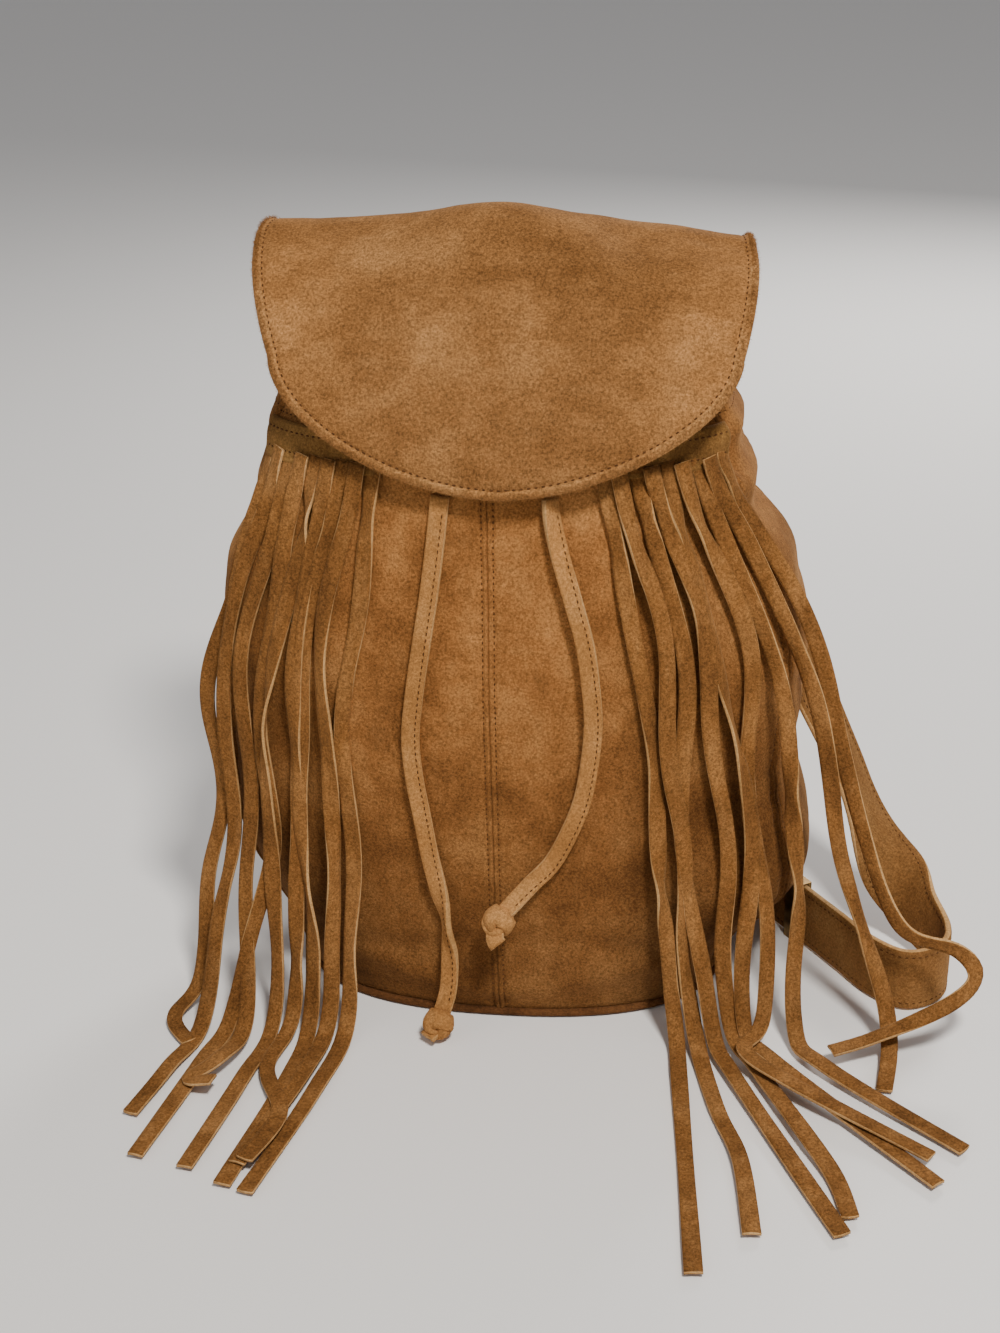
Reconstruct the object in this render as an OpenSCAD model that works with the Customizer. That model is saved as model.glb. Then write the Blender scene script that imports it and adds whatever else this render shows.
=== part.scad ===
// Fringed suede drawstring backpack. Origin: centre of the flat base, on the ground.
// +Z up, -Y is the front (flap and fringe side), +X is on the right of the front view.

/* [Bag body] */
// Half-width of the flat base
base_half_w = 112; // [105:1:125]
// Half-depth of the flat base
base_half_d = 68; // [60:1:76]
// Height of the bag's mouth
mouth_z = 366; // [356:1:372]
// Suede thickness of the body panels
panel_t = 2.0; // [1.2:0.1:2.4]
// Thickness of the base panel and of its welt
base_t = 3.0; // [2:0.5:4]

/* [Flap] */
// Half-width of the flap at its widest
flap_half_w = 122; // [112:1:126]
// Thickness of the flap's outer suede
flap_suede_t = 1.8; // [1:0.1:2]
// Thickness of the flap's lining
flap_lining_t = 1.5; // [0.8:0.1:1.6]

/* [Fringe] */
// Number of strands in each fringe
strands = 9; // [9:1:9]
// Width of one strand
strand_w = 8.0; // [6:0.5:9]
// Thickness of one strand
strand_t = 1.6; // [1:0.1:2]
// Height of the header band that the strands hang from
band_h = 18; // [12:1:18]

/* [Drawstring] */
// Width of the flat drawstring
string_w = 9; // [6:0.5:9]
// Thickness of the flat drawstring
string_t = 3.5; // [2:0.5:3.5]
// Diameter of the end knots
knot_d = 19; // [16:0.5:20]

/* [Straps] */
// Width of the shoulder straps
strap_w = 36; // [30:1:36]
// Thickness of the shoulder straps
strap_t = 3.6; // [2.5:0.1:4]

/* [Hidden] */

// ---- body outline: half-width, half-depth front and back, and centre depth at each height
LEVELS = [[0, base_half_w, base_half_d, 0], [30, 121, 73, 0], [100, 141, 77, -1],
    [190, 150, 76, -2], [240, 141, 71, -1], [270, 127, 67, -1], [310, 115, 60, 0],
    [345, 108, 48, 5], [mouth_z, 104, 40, 8]];
FRONT_POWER = 2.4;
BACK_POWER = 4;
// Angle from the X axis to the seams between side panels and front and back panels
SEAM_A = 22;

// Magnetic snap: height, lean from level, and the sizes of its two halves
SNAP_Z = 310;
SNAP_TILT = 76;
SOCKET_R = 9;
SOCKET_H = 2.4;
SOCKET_DIMPLE_R = 4;
SOCKET_FLOOR = 1.4;
STUD_R = 8;
STUD_H = 3.6;
SNAP_SINK = 0.2;

// Eyelets: place, lean, hole, flange and barrel
EYELET_X = 28;
EYELET_Z = 330;
EYELET_TILT = 64;
EYELET_HOLE_R = 5;
EYELET_FLANGE = 3.4;
EYELET_FLANGE_T = 0.7;
EYELET_BARREL_T = 0.8;
EYELET_OUT = 1.2;
EYELET_IN = 2.6;
EYELET_CLEAR = 1.5;

// Base: welt width, stiffener and how far it stops short of the wall
WELT_W = 2.4;
STIFFENER_T = 1.2;
STIFFENER_INSET = 5;

// Lining and the facing of the drawstring channel
LINING_T = 1;
LINING_FOOT = base_t + 1.5;
CHANNEL_BOTTOM = 318;
CHANNEL_MARGIN = 1;
FACING_IN = 8.6;
FACING_T = 1.2;
DRAWSTRING_IN = 5;

// Pieces sewn flat on the body: first and last angle, bottom and top
PATCH_T = 2;
YOKE_T = 1.6;
SEWN = 0.05;
YOKE = [56, 124, 322, 358];
SEAM_STRIP = [40, 140, 359, mouth_z];
TAB_LEFT = [129, 140, 4, 38];
TAB_RIGHT = [40, 51, 4, 38];

// Fringe: bands, first strand, pitch, and how the strands stand off the bag
BAND_TOP = 316;
BAND_INNER_X = 51;
FIRST_STRAND_X = 55;
STRAND_PITCH = 6.8;
STRAND_GAP = 2.6;
STRAND_LIFT = 2.9;
STRAND_HEAD = 26;
STRAND_SPREAD = 12;
// Between these heights a strand turns from hanging to lying
LYING_Z = 10;
HANGING_Z = 50;

// Handle and slider sizes
HANDLE_W = 12;
HANDLE_T = 3.2;
SLIDER_LONG = 12;
SLIDER_WALL = 2;
SLIDER_PLAY = 0.5;

FLOOR_Z = 1.2;
SLACK = 0.3;
// Steps along and up each body panel
PANEL_COLS = 10;
PANEL_ROWS = 15;

// Outline of the flap along its middle, from the hinge line over the top to the front edge
FLAP_RUN = [[50, 370], [50, 380], [45, 392], [33, 401], [12, 402], [-18, 386], [-45, 358],
    [-62, 330], [-72, 306], [-75, 292]];
FLAP_DROOP = 7;
// Run over which the droop comes in, and the widening behind the top
FLAP_TURN = 60;
FLAP_WIDEN = 70;
// The flap hangs a little to one side, from FLAP_TURN on, over this run
FLAP_SHIFT = 6;
FLAP_SHIFT_RUN = 80;
FLAP_STRAIGHT = 138;
FLAP_BACK_W = 113;
// How much narrower the flap is where its round end begins
FLAP_TAPER = 10;
// Powers and smallest share that shape the round end
NOSE_POWER = 1.75;
NOSE_ROOT = 0.571;
NOSE_END = 0.0016;
FLAP_ACROSS = [-1, -0.92, -0.8, -0.6, -0.4, -0.2, 0, 0.2, 0.4, 0.6, 0.8, 0.92, 1];

// ---- routes, each a list of points chosen by hand
// Drawstring between the flap and the eyelets
DRAW_LEFT = [[-22, -66.6, 293], [-24, -64, 304], [-27, -60, 316], [-28, -54, 326], [-28, -46, 331]];
DRAW_RIGHT = [[28, -46, 331], [28, -54, 326], [27, -60, 316], [24, -64, 304], [30, -66.6, 293]];
// Tails below the flap, and their knots
TAIL_LEFT = [[-22, -67, 291], [-23, -68.8, 281], [-25, -72, 264], [-28, -76, 242],
    [-32, -79.5, 218], [-36, -81, 194], [-39, -81, 170], [-38, -81, 148], [-35, -81, 126],
    [-32, -81, 104], [-28, -81, 82], [-25, -80, 62], [-24, -80, 42], [-25, -83, 24],
    [-28, -88, 13]];
KNOT_LEFT = [-29, -94, 10];
TAIL_RIGHT = [[30, -67, 291], [31, -68.8, 281], [35, -72, 264], [41, -76, 244], [47, -79, 222],
    [50, -81, 200], [51, -81, 180], [49, -81, 158], [45, -81, 137], [38, -81, 118],
    [30, -81, 102], [20, -81, 90], [11, -84, 80], [6, -87, 75]];
KNOT_RIGHT = [3, -89, 71];

// Shoulder straps: place, then the direction of the strap's width
STRAP_RIGHT = [
    [[48, 57, 354], [1, 0, 0.4]], [[58, 61.2, 330], [1, 0, 0.5]], [[80, 72, 286], [1, 0.1, 0.7]],
    [[109, 80, 236], [1, 0.7, 0.8]], [[138, 80, 184], [0.6, 1, 0.6]],
    [[160, 71, 134], [0.3, 1, 0.5]], [[182, 58, 90], [0.1, 1, 0.5]],
    [[199, 41, 54], [0.1, 1, 0.7]], [[219, 16, 28], [0, 0.4, 1]], [[234, -12, 19], [0, 0, 1]],
    [[230, -34, 19], [0, 0, 1]], [[212, -44, 19], [0, 0, 1]], [[194, -32, 19], [0, 0, 1]],
    [[179, -11, 19], [0, 0, 1]], [[164, 10, 19], [0, 0, 1]], [[149, 31, 19], [0, 0, 1]],
    [[136, 49, 19], [0, 0, 1]], [[124, 63, 19], [0, 0, 1]], [[104, 62.5, 20], [0, 0.35, 1]]];
STRAP_LEFT = [
    [[-48, 57, 354], [-1, 0, 0.4]], [[-54, 61.2, 330], [-1, 0, 0.3]],
    [[-62, 70, 286], [-1, 0, 0.3]], [[-68, 78, 240], [-1, 0, 0.2]],
    [[-72, 81, 190], [-1, 0, 0.2]], [[-73, 84, 145], [-1, 0.1, 0.2]],
    [[-70, 92, 100], [-1, 0.3, 0.4]], [[-62, 104, 60], [-0.7, 0.4, 0.8]],
    [[-48, 122, 30], [-0.3, 0.2, 1]], [[-32, 142, 19], [0, 0, 1]], [[-22, 162, 19], [0, 0, 1]],
    [[-28, 182, 19], [0, 0, 1]], [[-46, 186, 19], [0, 0, 1]], [[-60, 170, 19], [0, 0, 1]],
    [[-70, 149, 19], [0, 0, 1]], [[-80, 128, 19], [0, 0, 1]], [[-90, 107, 19], [0, 0, 1]],
    [[-97, 84, 19], [0, 0, 1]], [[-104, 64, 20], [0, 0.35, 1]]];
// Places of the sliders, on the straight stretch of each strap's lower run
SLIDER_RIGHT = [[156.5, 20.5, 19], [-15, 21, 0]];
SLIDER_LEFT = [[-75, 138.5, 19], [-10, -21, 0]];

// Grab handle, drawn hanging against the back
HANDLE = [[-18, 56, 352], [-18, 60, 344], [-17, 61, 334], [-10, 62, 325], [0, 62, 322],
    [10, 62, 325], [17, 61, 334], [18, 60, 344], [18, 56, 352]];

// Fringe strands below the header, innermost first
STRANDS_RIGHT = [
    [[71, -75, 200], [82, -76, 95], [93, -86, 14], [97, -120, 3], [109, -255, 3]],
    [[82, -73, 200], [91, -74, 95], [103, -88, 12], [116, -140, 3], [128, -178, 4], [134, -228, 3]],
    [[92, -71, 200], [101, -72, 95], [112, -88, 14], [124, -116, 5], [174, -224, 3]],
    [[101, -69, 200], [112, -70, 95], [121, -84, 14], [134, -108, 6], [158, -158, 6],
        [172, -186, 3], [178, -212, 3]],
    [[114, -64, 200], [125, -68, 95], [128, -84, 16], [142, -102, 7], [219, -186, 3]],
    [[124, -60, 200], [137, -64, 95], [138, -84, 18], [128, -102, 12], [150, -124, 10], [217, -169, 5]],
    [[134, -55, 200], [150, -60, 95], [154, -80, 12], [168, -104, 6], [233, -160, 3]],
    [[146, -46, 200], [171, -54, 95], [196, -68, 34], [202, -84, 8], [198, -118, 3]],
    [[154, -36, 200], [178, -46, 116], [204, -60, 62], [234, -64, 52], [244, -72, 42],
        [230, -84, 32], [194, -90, 14], [172, -98, 10]]];
STRANDS_LEFT = [
    [[-75, -74, 195], [-78, -76, 90], [-77, -92, 10], [-84, -146, 3], [-100, -223, 3]],
    [[-83, -72, 195], [-87, -74, 90], [-87, -90, 12], [-92, -136, 5], [-108, -206, 5]],
    [[-92, -70, 195], [-96, -72, 90], [-97, -92, 10], [-100, -140, 3], [-112, -219, 3]],
    [[-101, -68, 195], [-105, -70, 90], [-106, -92, 12], [-112, -130, 4], [-96, -168, 6], [-104, -206, 8]],
    [[-110, -66, 195], [-115, -68, 90], [-116, -94, 10], [-122, -140, 4], [-133, -209, 3]],
    [[-120, -61, 195], [-124, -64, 90], [-138, -96, 12], [-146, -128, 4], [-159, -203, 3]],
    [[-131, -56, 195], [-135, -60, 90], [-130, -98, 12], [-136, -134, 10], [-150, -146, 5], [-126, -160, 3]],
    [[-144, -48, 195], [-148, -54, 90], [-153, -96, 10], [-162, -134, 4], [-171, -172, 3]],
    [[-154, -38, 195], [-158, -46, 90], [-162, -68, 16], [-172, -92, 4], [-158, -112, 3]]];

// ---- small functions
function unit(v) = v / norm(v);
function join_rows(rows) = [for (row = rows, p = row) p];

// Smooth value of column c of LEVELS at height z
function level_at(z, c, i = 0) =
    i >= len(LEVELS) - 2 || z <= LEVELS[i + 1][0] ? level_between(z, c, i) : level_at(z, c, i + 1);
function slope_at(i, c) =
    i == 0 ? (LEVELS[1][c] - LEVELS[0][c]) / (LEVELS[1][0] - LEVELS[0][0])
    : i == len(LEVELS) - 1 ? (LEVELS[i][c] - LEVELS[i - 1][c]) / (LEVELS[i][0] - LEVELS[i - 1][0])
    : (LEVELS[i + 1][c] - LEVELS[i - 1][c]) / (LEVELS[i + 1][0] - LEVELS[i - 1][0]);
function level_between(z, c, i) =
    let (h = LEVELS[i + 1][0] - LEVELS[i][0], t = (z - LEVELS[i][0]) / h)
    LEVELS[i][c] * (1 + 2 * t) * pow(1 - t, 2) + slope_at(i, c) * h * t * pow(1 - t, 2)
    + LEVELS[i + 1][c] * t * t * (3 - 2 * t) + slope_at(i + 1, c) * h * t * t * (t - 1);

// Point of the body's outline at angle u and height z, moved inwards by inset
function signed_pow(v, e) = sign(v) * pow(abs(v), e);
function outline(u, z, inset = 0) =
    let (p = sin(u) < 0 ? FRONT_POWER : BACK_POWER)
    [(level_at(z, 1) - inset) * signed_pow(cos(u), 2 / p),
     level_at(z, 3) + (level_at(z, 2) - inset) * signed_pow(sin(u), 2 / p), z];
// Depth of the front outline at x
function front_y(x, z, inset = 0) =
    level_at(z, 3) - (level_at(z, 2) - inset)
    * pow(max(0, 1 - pow(abs(x) / (level_at(z, 1) - inset), FRONT_POWER)), 1 / FRONT_POWER);
// Angle on the front half at which the outline has this x
function front_angle(x, z) =
    270 + sign(x) * (90 - acos(pow(abs(x) / level_at(z, 1), FRONT_POWER / 2)));

// Smooth curve through points: position at step k of n in the stretch after point i
function curve_point(p, i, t) =
    let (a = p[max(i - 1, 0)], b = p[i], c = p[i + 1], d = p[min(i + 2, len(p) - 1)])
    0.5 * (2 * b + (c - a) * t + (2 * a - 5 * b + 4 * c - d) * t * t
    + (3 * b - a - 3 * c + d) * t * t * t);
function smooth_run(p, n) =
    concat([for (i = [0:len(p) - 2], k = [0:n - 1]) curve_point(p, i, k / n)], [p[len(p) - 1]]);
function heading(p, i) = unit(p[min(i + 1, len(p) - 1)] - p[max(i - 1, 0)]);

// ---- closed solids from rows of points
// A slab between two grids of the same size
module slab(outer, inner) {
    rows = len(outer);
    cols = len(outer[0]);
    n = rows * cols;
    grid = [for (i = [0:rows - 2], j = [0:cols - 2]) [i * cols + j, i * cols + j + 1,
        (i + 1) * cols + j + 1, (i + 1) * cols + j]];
    rim = concat([for (j = [0:cols - 2]) [j + 1, j]],
        [for (j = [0:cols - 2]) [(rows - 1) * cols + j, (rows - 1) * cols + j + 1]],
        [for (i = [0:rows - 2]) [i * cols, (i + 1) * cols]],
        [for (i = [0:rows - 2]) [(i + 1) * cols + cols - 1, i * cols + cols - 1]]);
    polyhedron(concat(join_rows(outer), join_rows(inner)), concat(
        [for (q = grid) [q[0], q[1], q[2]]], [for (q = grid) [q[0], q[2], q[3]]],
        [for (q = grid) [n + q[0], n + q[2], n + q[1]]], [for (q = grid) [n + q[0], n + q[3], n + q[2]]],
        [for (e = rim) [e[0], e[1], n + e[1]]], [for (e = rim) [e[0], n + e[1], n + e[0]]]));
}
// A tube through rings that all have the same number of points
module tube(rings) {
    k = len(rings[0]);
    last = (len(rings) - 1) * k;
    polyhedron(join_rows(rings), concat(
        [for (i = [0:len(rings) - 2], j = [0:k - 1])
            [i * k + j, (i + 1) * k + j, (i + 1) * k + (j + 1) % k]],
        [for (i = [0:len(rings) - 2], j = [0:k - 1])
            [i * k + j, (i + 1) * k + (j + 1) % k, i * k + (j + 1) % k]],
        [for (j = [1:k - 2]) [0, j, j + 1]],
        [for (j = [1:k - 2]) [last, last + j + 1, last + j]]));
}
// Ring of a flat strip: centre, heading, direction of its width, width and thickness
function strip_ring(c, t, across, w, h) =
    let (s = unit(across - (across * t) * t), m = cross(t, s))
    [c + s * w / 2 + m * h / 2, c - s * w / 2 + m * h / 2, c - s * w / 2 - m * h / 2,
     c + s * w / 2 - m * h / 2];
// Eight-sided ring of a flat cord
function cord_ring(c, t, across, w, h) =
    let (s = unit(across - (across * t) * t), m = cross(t, s))
    [for (q = [22.5:45:360]) c + s * w * 0.54 * cos(q) + m * h * 0.54 * sin(q)];

// ---- body of the bag
module wall(u0, u1, z0, z1, out, inner, cols, rows) {
    us = [for (j = [0:cols]) u0 + (u1 - u0) * j / cols];
    zs = [for (i = [0:rows]) z0 + (z1 - z0) * i / rows];
    slab([for (z = zs) [for (u = us) outline(u, z, out)]],
        [for (z = zs) [for (u = us) outline(u, z, inner)]]);
}
module eyelet_place(side) {
    translate([side * EYELET_X, front_y(EYELET_X, EYELET_Z), EYELET_Z])
        rotate([EYELET_TILT, 0, 0]) children();
}
module body_panel(u0, u1, cols = PANEL_COLS) {
    wall(u0, u1, base_t, mouth_z, 0, panel_t, cols, PANEL_ROWS);
}
// A piece of leather of this thickness sewn flat on the body
module patch(span, thick, cols, rows) {
    wall(span[0], span[1], span[2], span[3], -thick, -SEWN, cols, rows);
}
module front_panel(side) {
    difference() {
        body_panel(side < 0 ? 180 + SEAM_A : 270, side < 0 ? 270 : 360 - SEAM_A);
        eyelet_place(side)
            cylinder(r = EYELET_HOLE_R + EYELET_CLEAR, h = 6 * panel_t, center = true, $fn = 32);
    }
}
module front_panel_left() { color("peru") front_panel(-1); }
module front_panel_right() { color("peru") front_panel(1); }
module side_panel_left() { color("sienna") body_panel(180 - SEAM_A, 180 + SEAM_A); }
module side_panel_right() { color("sienna") body_panel(-SEAM_A, SEAM_A); }
module back_panel() { color("peru") body_panel(SEAM_A, 180 - SEAM_A, 16); }
module base_shape(grow) {
    polygon([for (u = [0:7.5:352.5]) [outline(u, 0, -grow)[0], outline(u, 0, -grow)[1]]]);
}
module base_panel() { color("saddlebrown") linear_extrude(base_t) base_shape(0); }
module base_welt() {
    color("saddlebrown") linear_extrude(base_t) difference() {
        base_shape(WELT_W);
        base_shape(0);
    }
}
module base_stiffener() {
    color("dimgray") translate([0, 0, base_t]) linear_extrude(STIFFENER_T) base_shape(-STIFFENER_INSET);
}
// Fabric lining: a bag of its own between the base stiffener and the drawstring channel
module lining() {
    color("tan") union() for (q = [0:3]) wall(q * 90, q * 90 + 90, LINING_FOOT, CHANNEL_BOTTOM,
        panel_t + SLACK, panel_t + SLACK + LINING_T, 9, 12);
}
module lining_base() {
    inset = panel_t + LINING_T + 0.5;
    color("tan") translate([0, 0, LINING_FOOT]) linear_extrude(LINING_T)
        polygon([for (u = [0:10:350]) [outline(u, 0, inset)[0], outline(u, 0, inset)[1]]]);
}
// Facing that closes the drawstring channel inside the mouth
module channel_facing() {
    color("peru") union() for (q = [0:3])
        wall(q * 90, q * 90 + 90, CHANNEL_BOTTOM + CHANNEL_MARGIN, mouth_z - CHANNEL_MARGIN,
            FACING_IN, FACING_IN + FACING_T, 12, 4);
}
module eyelet(side) {
    color("goldenrod") eyelet_place(side) rotate_extrude($fn = 48) polygon([
        [EYELET_HOLE_R, -EYELET_IN], [EYELET_HOLE_R, EYELET_OUT],
        [EYELET_HOLE_R + EYELET_FLANGE, EYELET_OUT],
        [EYELET_HOLE_R + EYELET_FLANGE, EYELET_OUT - EYELET_FLANGE_T],
        [EYELET_HOLE_R + EYELET_BARREL_T, EYELET_OUT - EYELET_FLANGE_T],
        [EYELET_HOLE_R + EYELET_BARREL_T, -EYELET_IN]]);
}
module eyelet_left() { eyelet(-1); }
module eyelet_right() { eyelet(1); }
module back_yoke() { color("sienna") patch(YOKE, YOKE_T, 10, 4); }
module flap_seam_strip() { color("peru") patch(SEAM_STRIP, PATCH_T, 14, 2); }
module snap_place() {
    translate([0, front_y(0, SNAP_Z) - SNAP_SINK, SNAP_Z]) rotate([SNAP_TILT, 0, 0]) children();
}
module snap_socket() {
    color("gold") snap_place() difference() {
        cylinder(r = SOCKET_R, h = SOCKET_H, $fn = 48);
        translate([0, 0, SOCKET_FLOOR]) cylinder(r = SOCKET_DIMPLE_R, h = SOCKET_H, $fn = 48);
    }
}
module fringe_band(side) {
    a = front_angle(side * BAND_INNER_X, 300);
    b = side > 0 ? 360 - SEAM_A : 180 + SEAM_A;
    color("sienna") patch([min(a, b), max(a, b), BAND_TOP - band_h, BAND_TOP], PATCH_T, 8, 2);
}
module fringe_band_left() { fringe_band(-1); }
module fringe_band_right() { fringe_band(1); }

// Flat drawstring: up from under the flap, in at one eyelet, round the channel and out again
module drawstring() {
    z = EYELET_Z + 2;
    around = [for (u = [254:-8.2:-74])
        [outline(u, z, DRAWSTRING_IN)[0], outline(u, z, DRAWSTRING_IN)[1], z]];
    ends = len(DRAW_LEFT);
    route = concat(DRAW_LEFT, around, DRAW_RIGHT);
    color("burlywood") tube([for (i = [0:len(route) - 1])
        let (t = heading(route, i), inside = i >= ends && i < len(route) - ends)
        cord_ring(route[i], t, inside ? [0, 0, 1] : [1, 0, 0.001],
            string_w * (inside ? 1 : 0.8), string_t * 0.8)]);
}

// ---- flap
FLAP_PATH = smooth_run([for (p = FLAP_RUN) [0, p[0], p[1]]], 2);
function run_length(p, i = 0, sum = 0, stop = 999) =
    i >= len(p) - 1 || i >= stop ? sum : run_length(p, i + 1, sum + norm(p[i + 1] - p[i]), stop);
FLAP_LENGTH = run_length(FLAP_PATH);
// Half-width of the flap at distance s from the hinge line
function flap_nose(s) =
    pow(max(NOSE_END, 1 - pow((s - FLAP_STRAIGHT) / (FLAP_LENGTH - FLAP_STRAIGHT), NOSE_POWER)), NOSE_ROOT);
function flap_w(s) =
    s < FLAP_WIDEN ? FLAP_BACK_W + (flap_half_w - FLAP_BACK_W) * sin(90 * s / FLAP_WIDEN)
    : s < FLAP_STRAIGHT ?
        flap_half_w - FLAP_TAPER * pow((s - FLAP_WIDEN) / (FLAP_STRAIGHT - FLAP_WIDEN), 2)
    : (flap_half_w - FLAP_TAPER) * flap_nose(s);
function flap_point(i, x, off) =
    let (t = heading(FLAP_PATH, i), m = cross([1, 0, 0], t), s = run_length(FLAP_PATH, stop = i),
        shift = FLAP_SHIFT * min(1, max(0, (s - FLAP_TURN) / FLAP_SHIFT_RUN)),
        droop = FLAP_DROOP * pow(x / flap_half_w, 2) * min(1, s / FLAP_TURN))
    FLAP_PATH[i] + [x + shift, 0, 0] - m * (off - droop);
function flap_rows(off) = [for (i = [0:len(FLAP_PATH) - 1])
    let (w = flap_w(run_length(FLAP_PATH, stop = i))) [for (k = FLAP_ACROSS) flap_point(i, k * w, off)]];
module flap_layer(low, high) { slab(flap_rows(high), flap_rows(low)); }
module flap_outer() { color("peru") flap_layer(0, flap_suede_t); }
module flap_lining() { color("tan") flap_layer(-flap_lining_t, -0.02); }
module snap_stud() {
    color("gold") snap_place() translate([0, 0, SOCKET_H + SLACK]) cylinder(r = STUD_R, h = STUD_H, $fn = 48);
}

// ---- handle and straps
module strap(route) {
    places = smooth_run([for (r = route) r[0]], 2);
    widths = smooth_run([for (r = route) r[1]], 2);
    tube([for (i = [0:len(places) - 1])
        strip_ring(places[i], heading(places, i), widths[i], strap_w, strap_t)]);
}
module shoulder_strap_left() { color("peru") strap(STRAP_LEFT); }
module shoulder_strap_right() { color("peru") strap(STRAP_RIGHT); }
module strap_slider(place) {
    a = atan2(place[1][1], place[1][0]);
    color("goldenrod") translate(place[0]) rotate([0, 0, a]) difference() {
        cube([SLIDER_LONG, strap_t + 2 * (SLIDER_WALL + SLIDER_PLAY), strap_w + 2], center = true);
        cube([2 * SLIDER_LONG, strap_t + 2 * SLIDER_PLAY, strap_w + 0.6], center = true);
    }
}
module strap_slider_left() { strap_slider(SLIDER_LEFT); }
module strap_slider_right() { strap_slider(SLIDER_RIGHT); }
// Reinforcing tabs where the lower strap ends are sewn to the bag's bottom back corners
module lower_strap_tab_left() { color("sienna") patch(TAB_LEFT, PATCH_T, 4, 3); }
module lower_strap_tab_right() { color("sienna") patch(TAB_RIGHT, PATCH_T, 4, 3); }
module grab_handle() {
    places = smooth_run(HANDLE, 3);
    color("sienna") tube([for (i = [0:len(places) - 1])
        strip_ring(places[i], heading(places, i), [0, 1, 0], HANDLE_T, HANDLE_W)]);
}

// ---- drawstring tails with their knots
module tail(route) {
    places = smooth_run(route, 2);
    color("burlywood") tube([for (i = [0:len(places) - 1])
        cord_ring(places[i], heading(places, i), [1, 0, 0.3], string_w, string_t)]);
}
module drawstring_tail_left() { tail(TAIL_LEFT); }
module drawstring_tail_right() { tail(TAIL_RIGHT); }
module knot(place) { color("burlywood") translate(place) sphere(d = knot_d, $fn = 32); }
module knot_left() { knot(KNOT_LEFT); }
module knot_right() { knot(KNOT_RIGHT); }

// ---- fringe
// Strand faces outwards where it hangs and upwards where it lies on the ground
function face_of(z) =
    let (k = min(1, max(0, (z - LYING_Z) / (HANGING_Z - LYING_Z)))) [0, -k, 1 - k + 0.001];
module strand(side, i, points) {
    x = side * (FIRST_STRAND_X + STRAND_PITCH * i);
    top = BAND_TOP - band_h;
    head = [for (z = [top - STRAND_GAP, top - STRAND_HEAD])
        [x, front_y(x, z, -STRAND_LIFT - (top - z) / STRAND_SPREAD), z]];
    route = smooth_run(concat(head, points), 4);
    places = [for (p = route) [p[0], p[1], max(p[2], FLOOR_Z)]];
    tube([for (j = [0:len(places) - 1]) let (t = heading(places, j))
        strip_ring(places[j], t, cross(t, face_of(places[j][2])), strand_w, strand_t)]);
}
module fringe_strands_left() {
    color("peru") union() for (i = [0:strands - 1]) strand(-1, i, STRANDS_LEFT[i]);
}
module fringe_strands_right() {
    color("peru") union() for (i = [0:strands - 1]) strand(1, i, STRANDS_RIGHT[i]);
}

base_panel();
base_welt();
base_stiffener();
front_panel_left();
front_panel_right();
side_panel_left();
side_panel_right();
back_panel();
lining();
lining_base();
channel_facing();
eyelet_left();
eyelet_right();
drawstring();
back_yoke();
flap_seam_strip();
snap_socket();
fringe_band_left();
fringe_band_right();
lower_strap_tab_left();
lower_strap_tab_right();
flap_outer();
flap_lining();
snap_stud();
grab_handle();
shoulder_strap_left();
shoulder_strap_right();
strap_slider_left();
strap_slider_right();
drawstring_tail_left();
drawstring_tail_right();
knot_left();
knot_right();
fringe_strands_left();
fringe_strands_right();
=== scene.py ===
import math
import random
import bpy
import numpy as np
from mathutils import Matrix, Vector, noise


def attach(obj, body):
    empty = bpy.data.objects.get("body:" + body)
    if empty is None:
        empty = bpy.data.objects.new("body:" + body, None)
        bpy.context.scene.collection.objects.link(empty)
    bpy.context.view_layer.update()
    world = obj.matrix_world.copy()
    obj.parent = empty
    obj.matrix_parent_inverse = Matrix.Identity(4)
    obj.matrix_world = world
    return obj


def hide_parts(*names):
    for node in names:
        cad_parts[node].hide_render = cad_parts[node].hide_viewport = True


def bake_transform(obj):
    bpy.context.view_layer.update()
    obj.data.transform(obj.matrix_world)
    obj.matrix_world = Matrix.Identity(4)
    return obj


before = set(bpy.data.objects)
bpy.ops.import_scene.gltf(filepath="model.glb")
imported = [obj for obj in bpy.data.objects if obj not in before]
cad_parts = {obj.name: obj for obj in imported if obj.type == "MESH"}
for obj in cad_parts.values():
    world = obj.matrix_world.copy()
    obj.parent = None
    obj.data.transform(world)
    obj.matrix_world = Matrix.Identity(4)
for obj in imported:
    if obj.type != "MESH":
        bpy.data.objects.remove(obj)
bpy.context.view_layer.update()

# All shapes below are worked out in millimetres, in the CAD frame, and made in metres.
MM = 0.001
rng = random.Random(7)

# ---- the bag's dimensions
MOUTH_Z = 366.0
# Height, half-width, half-depth and centre depth of the body's outline
LEVELS = np.array([[0, 112, 68, 0], [30, 121, 73, 0], [100, 141, 77, -1], [190, 150, 76, -2],
                   [240, 141, 71, -1], [270, 127, 67, -1], [310, 115, 60, 0], [345, 108, 48, 5],
                   [MOUTH_Z, 104, 40, 8]], float)
# Powers of the outline's rounded-rectangle shape, and the angle of the four corner seams
FRONT_POWER, BACK_POWER = 2.4, 4.0
SEAM_A = 22.0
PANEL_FOOT = 2.5
LEATHER_T, LINING_T = 1.8, 0.9
LINING_TOP, LINING_LIFT = 322, -3.0
# Height and lift of the hem that makes the drawstring's channel, and the row of stitches under it
HEM = [(318, -8.4), (330, -8.6), (345, -8.4), (357, -7.6), (363, -6.0), (366.5, -3.4), (366.8, -1.9),
       (365.5, -0.6)]
HEM_STITCH_Z = 318.5
SEAM_STITCH_TOP = 358
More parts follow.
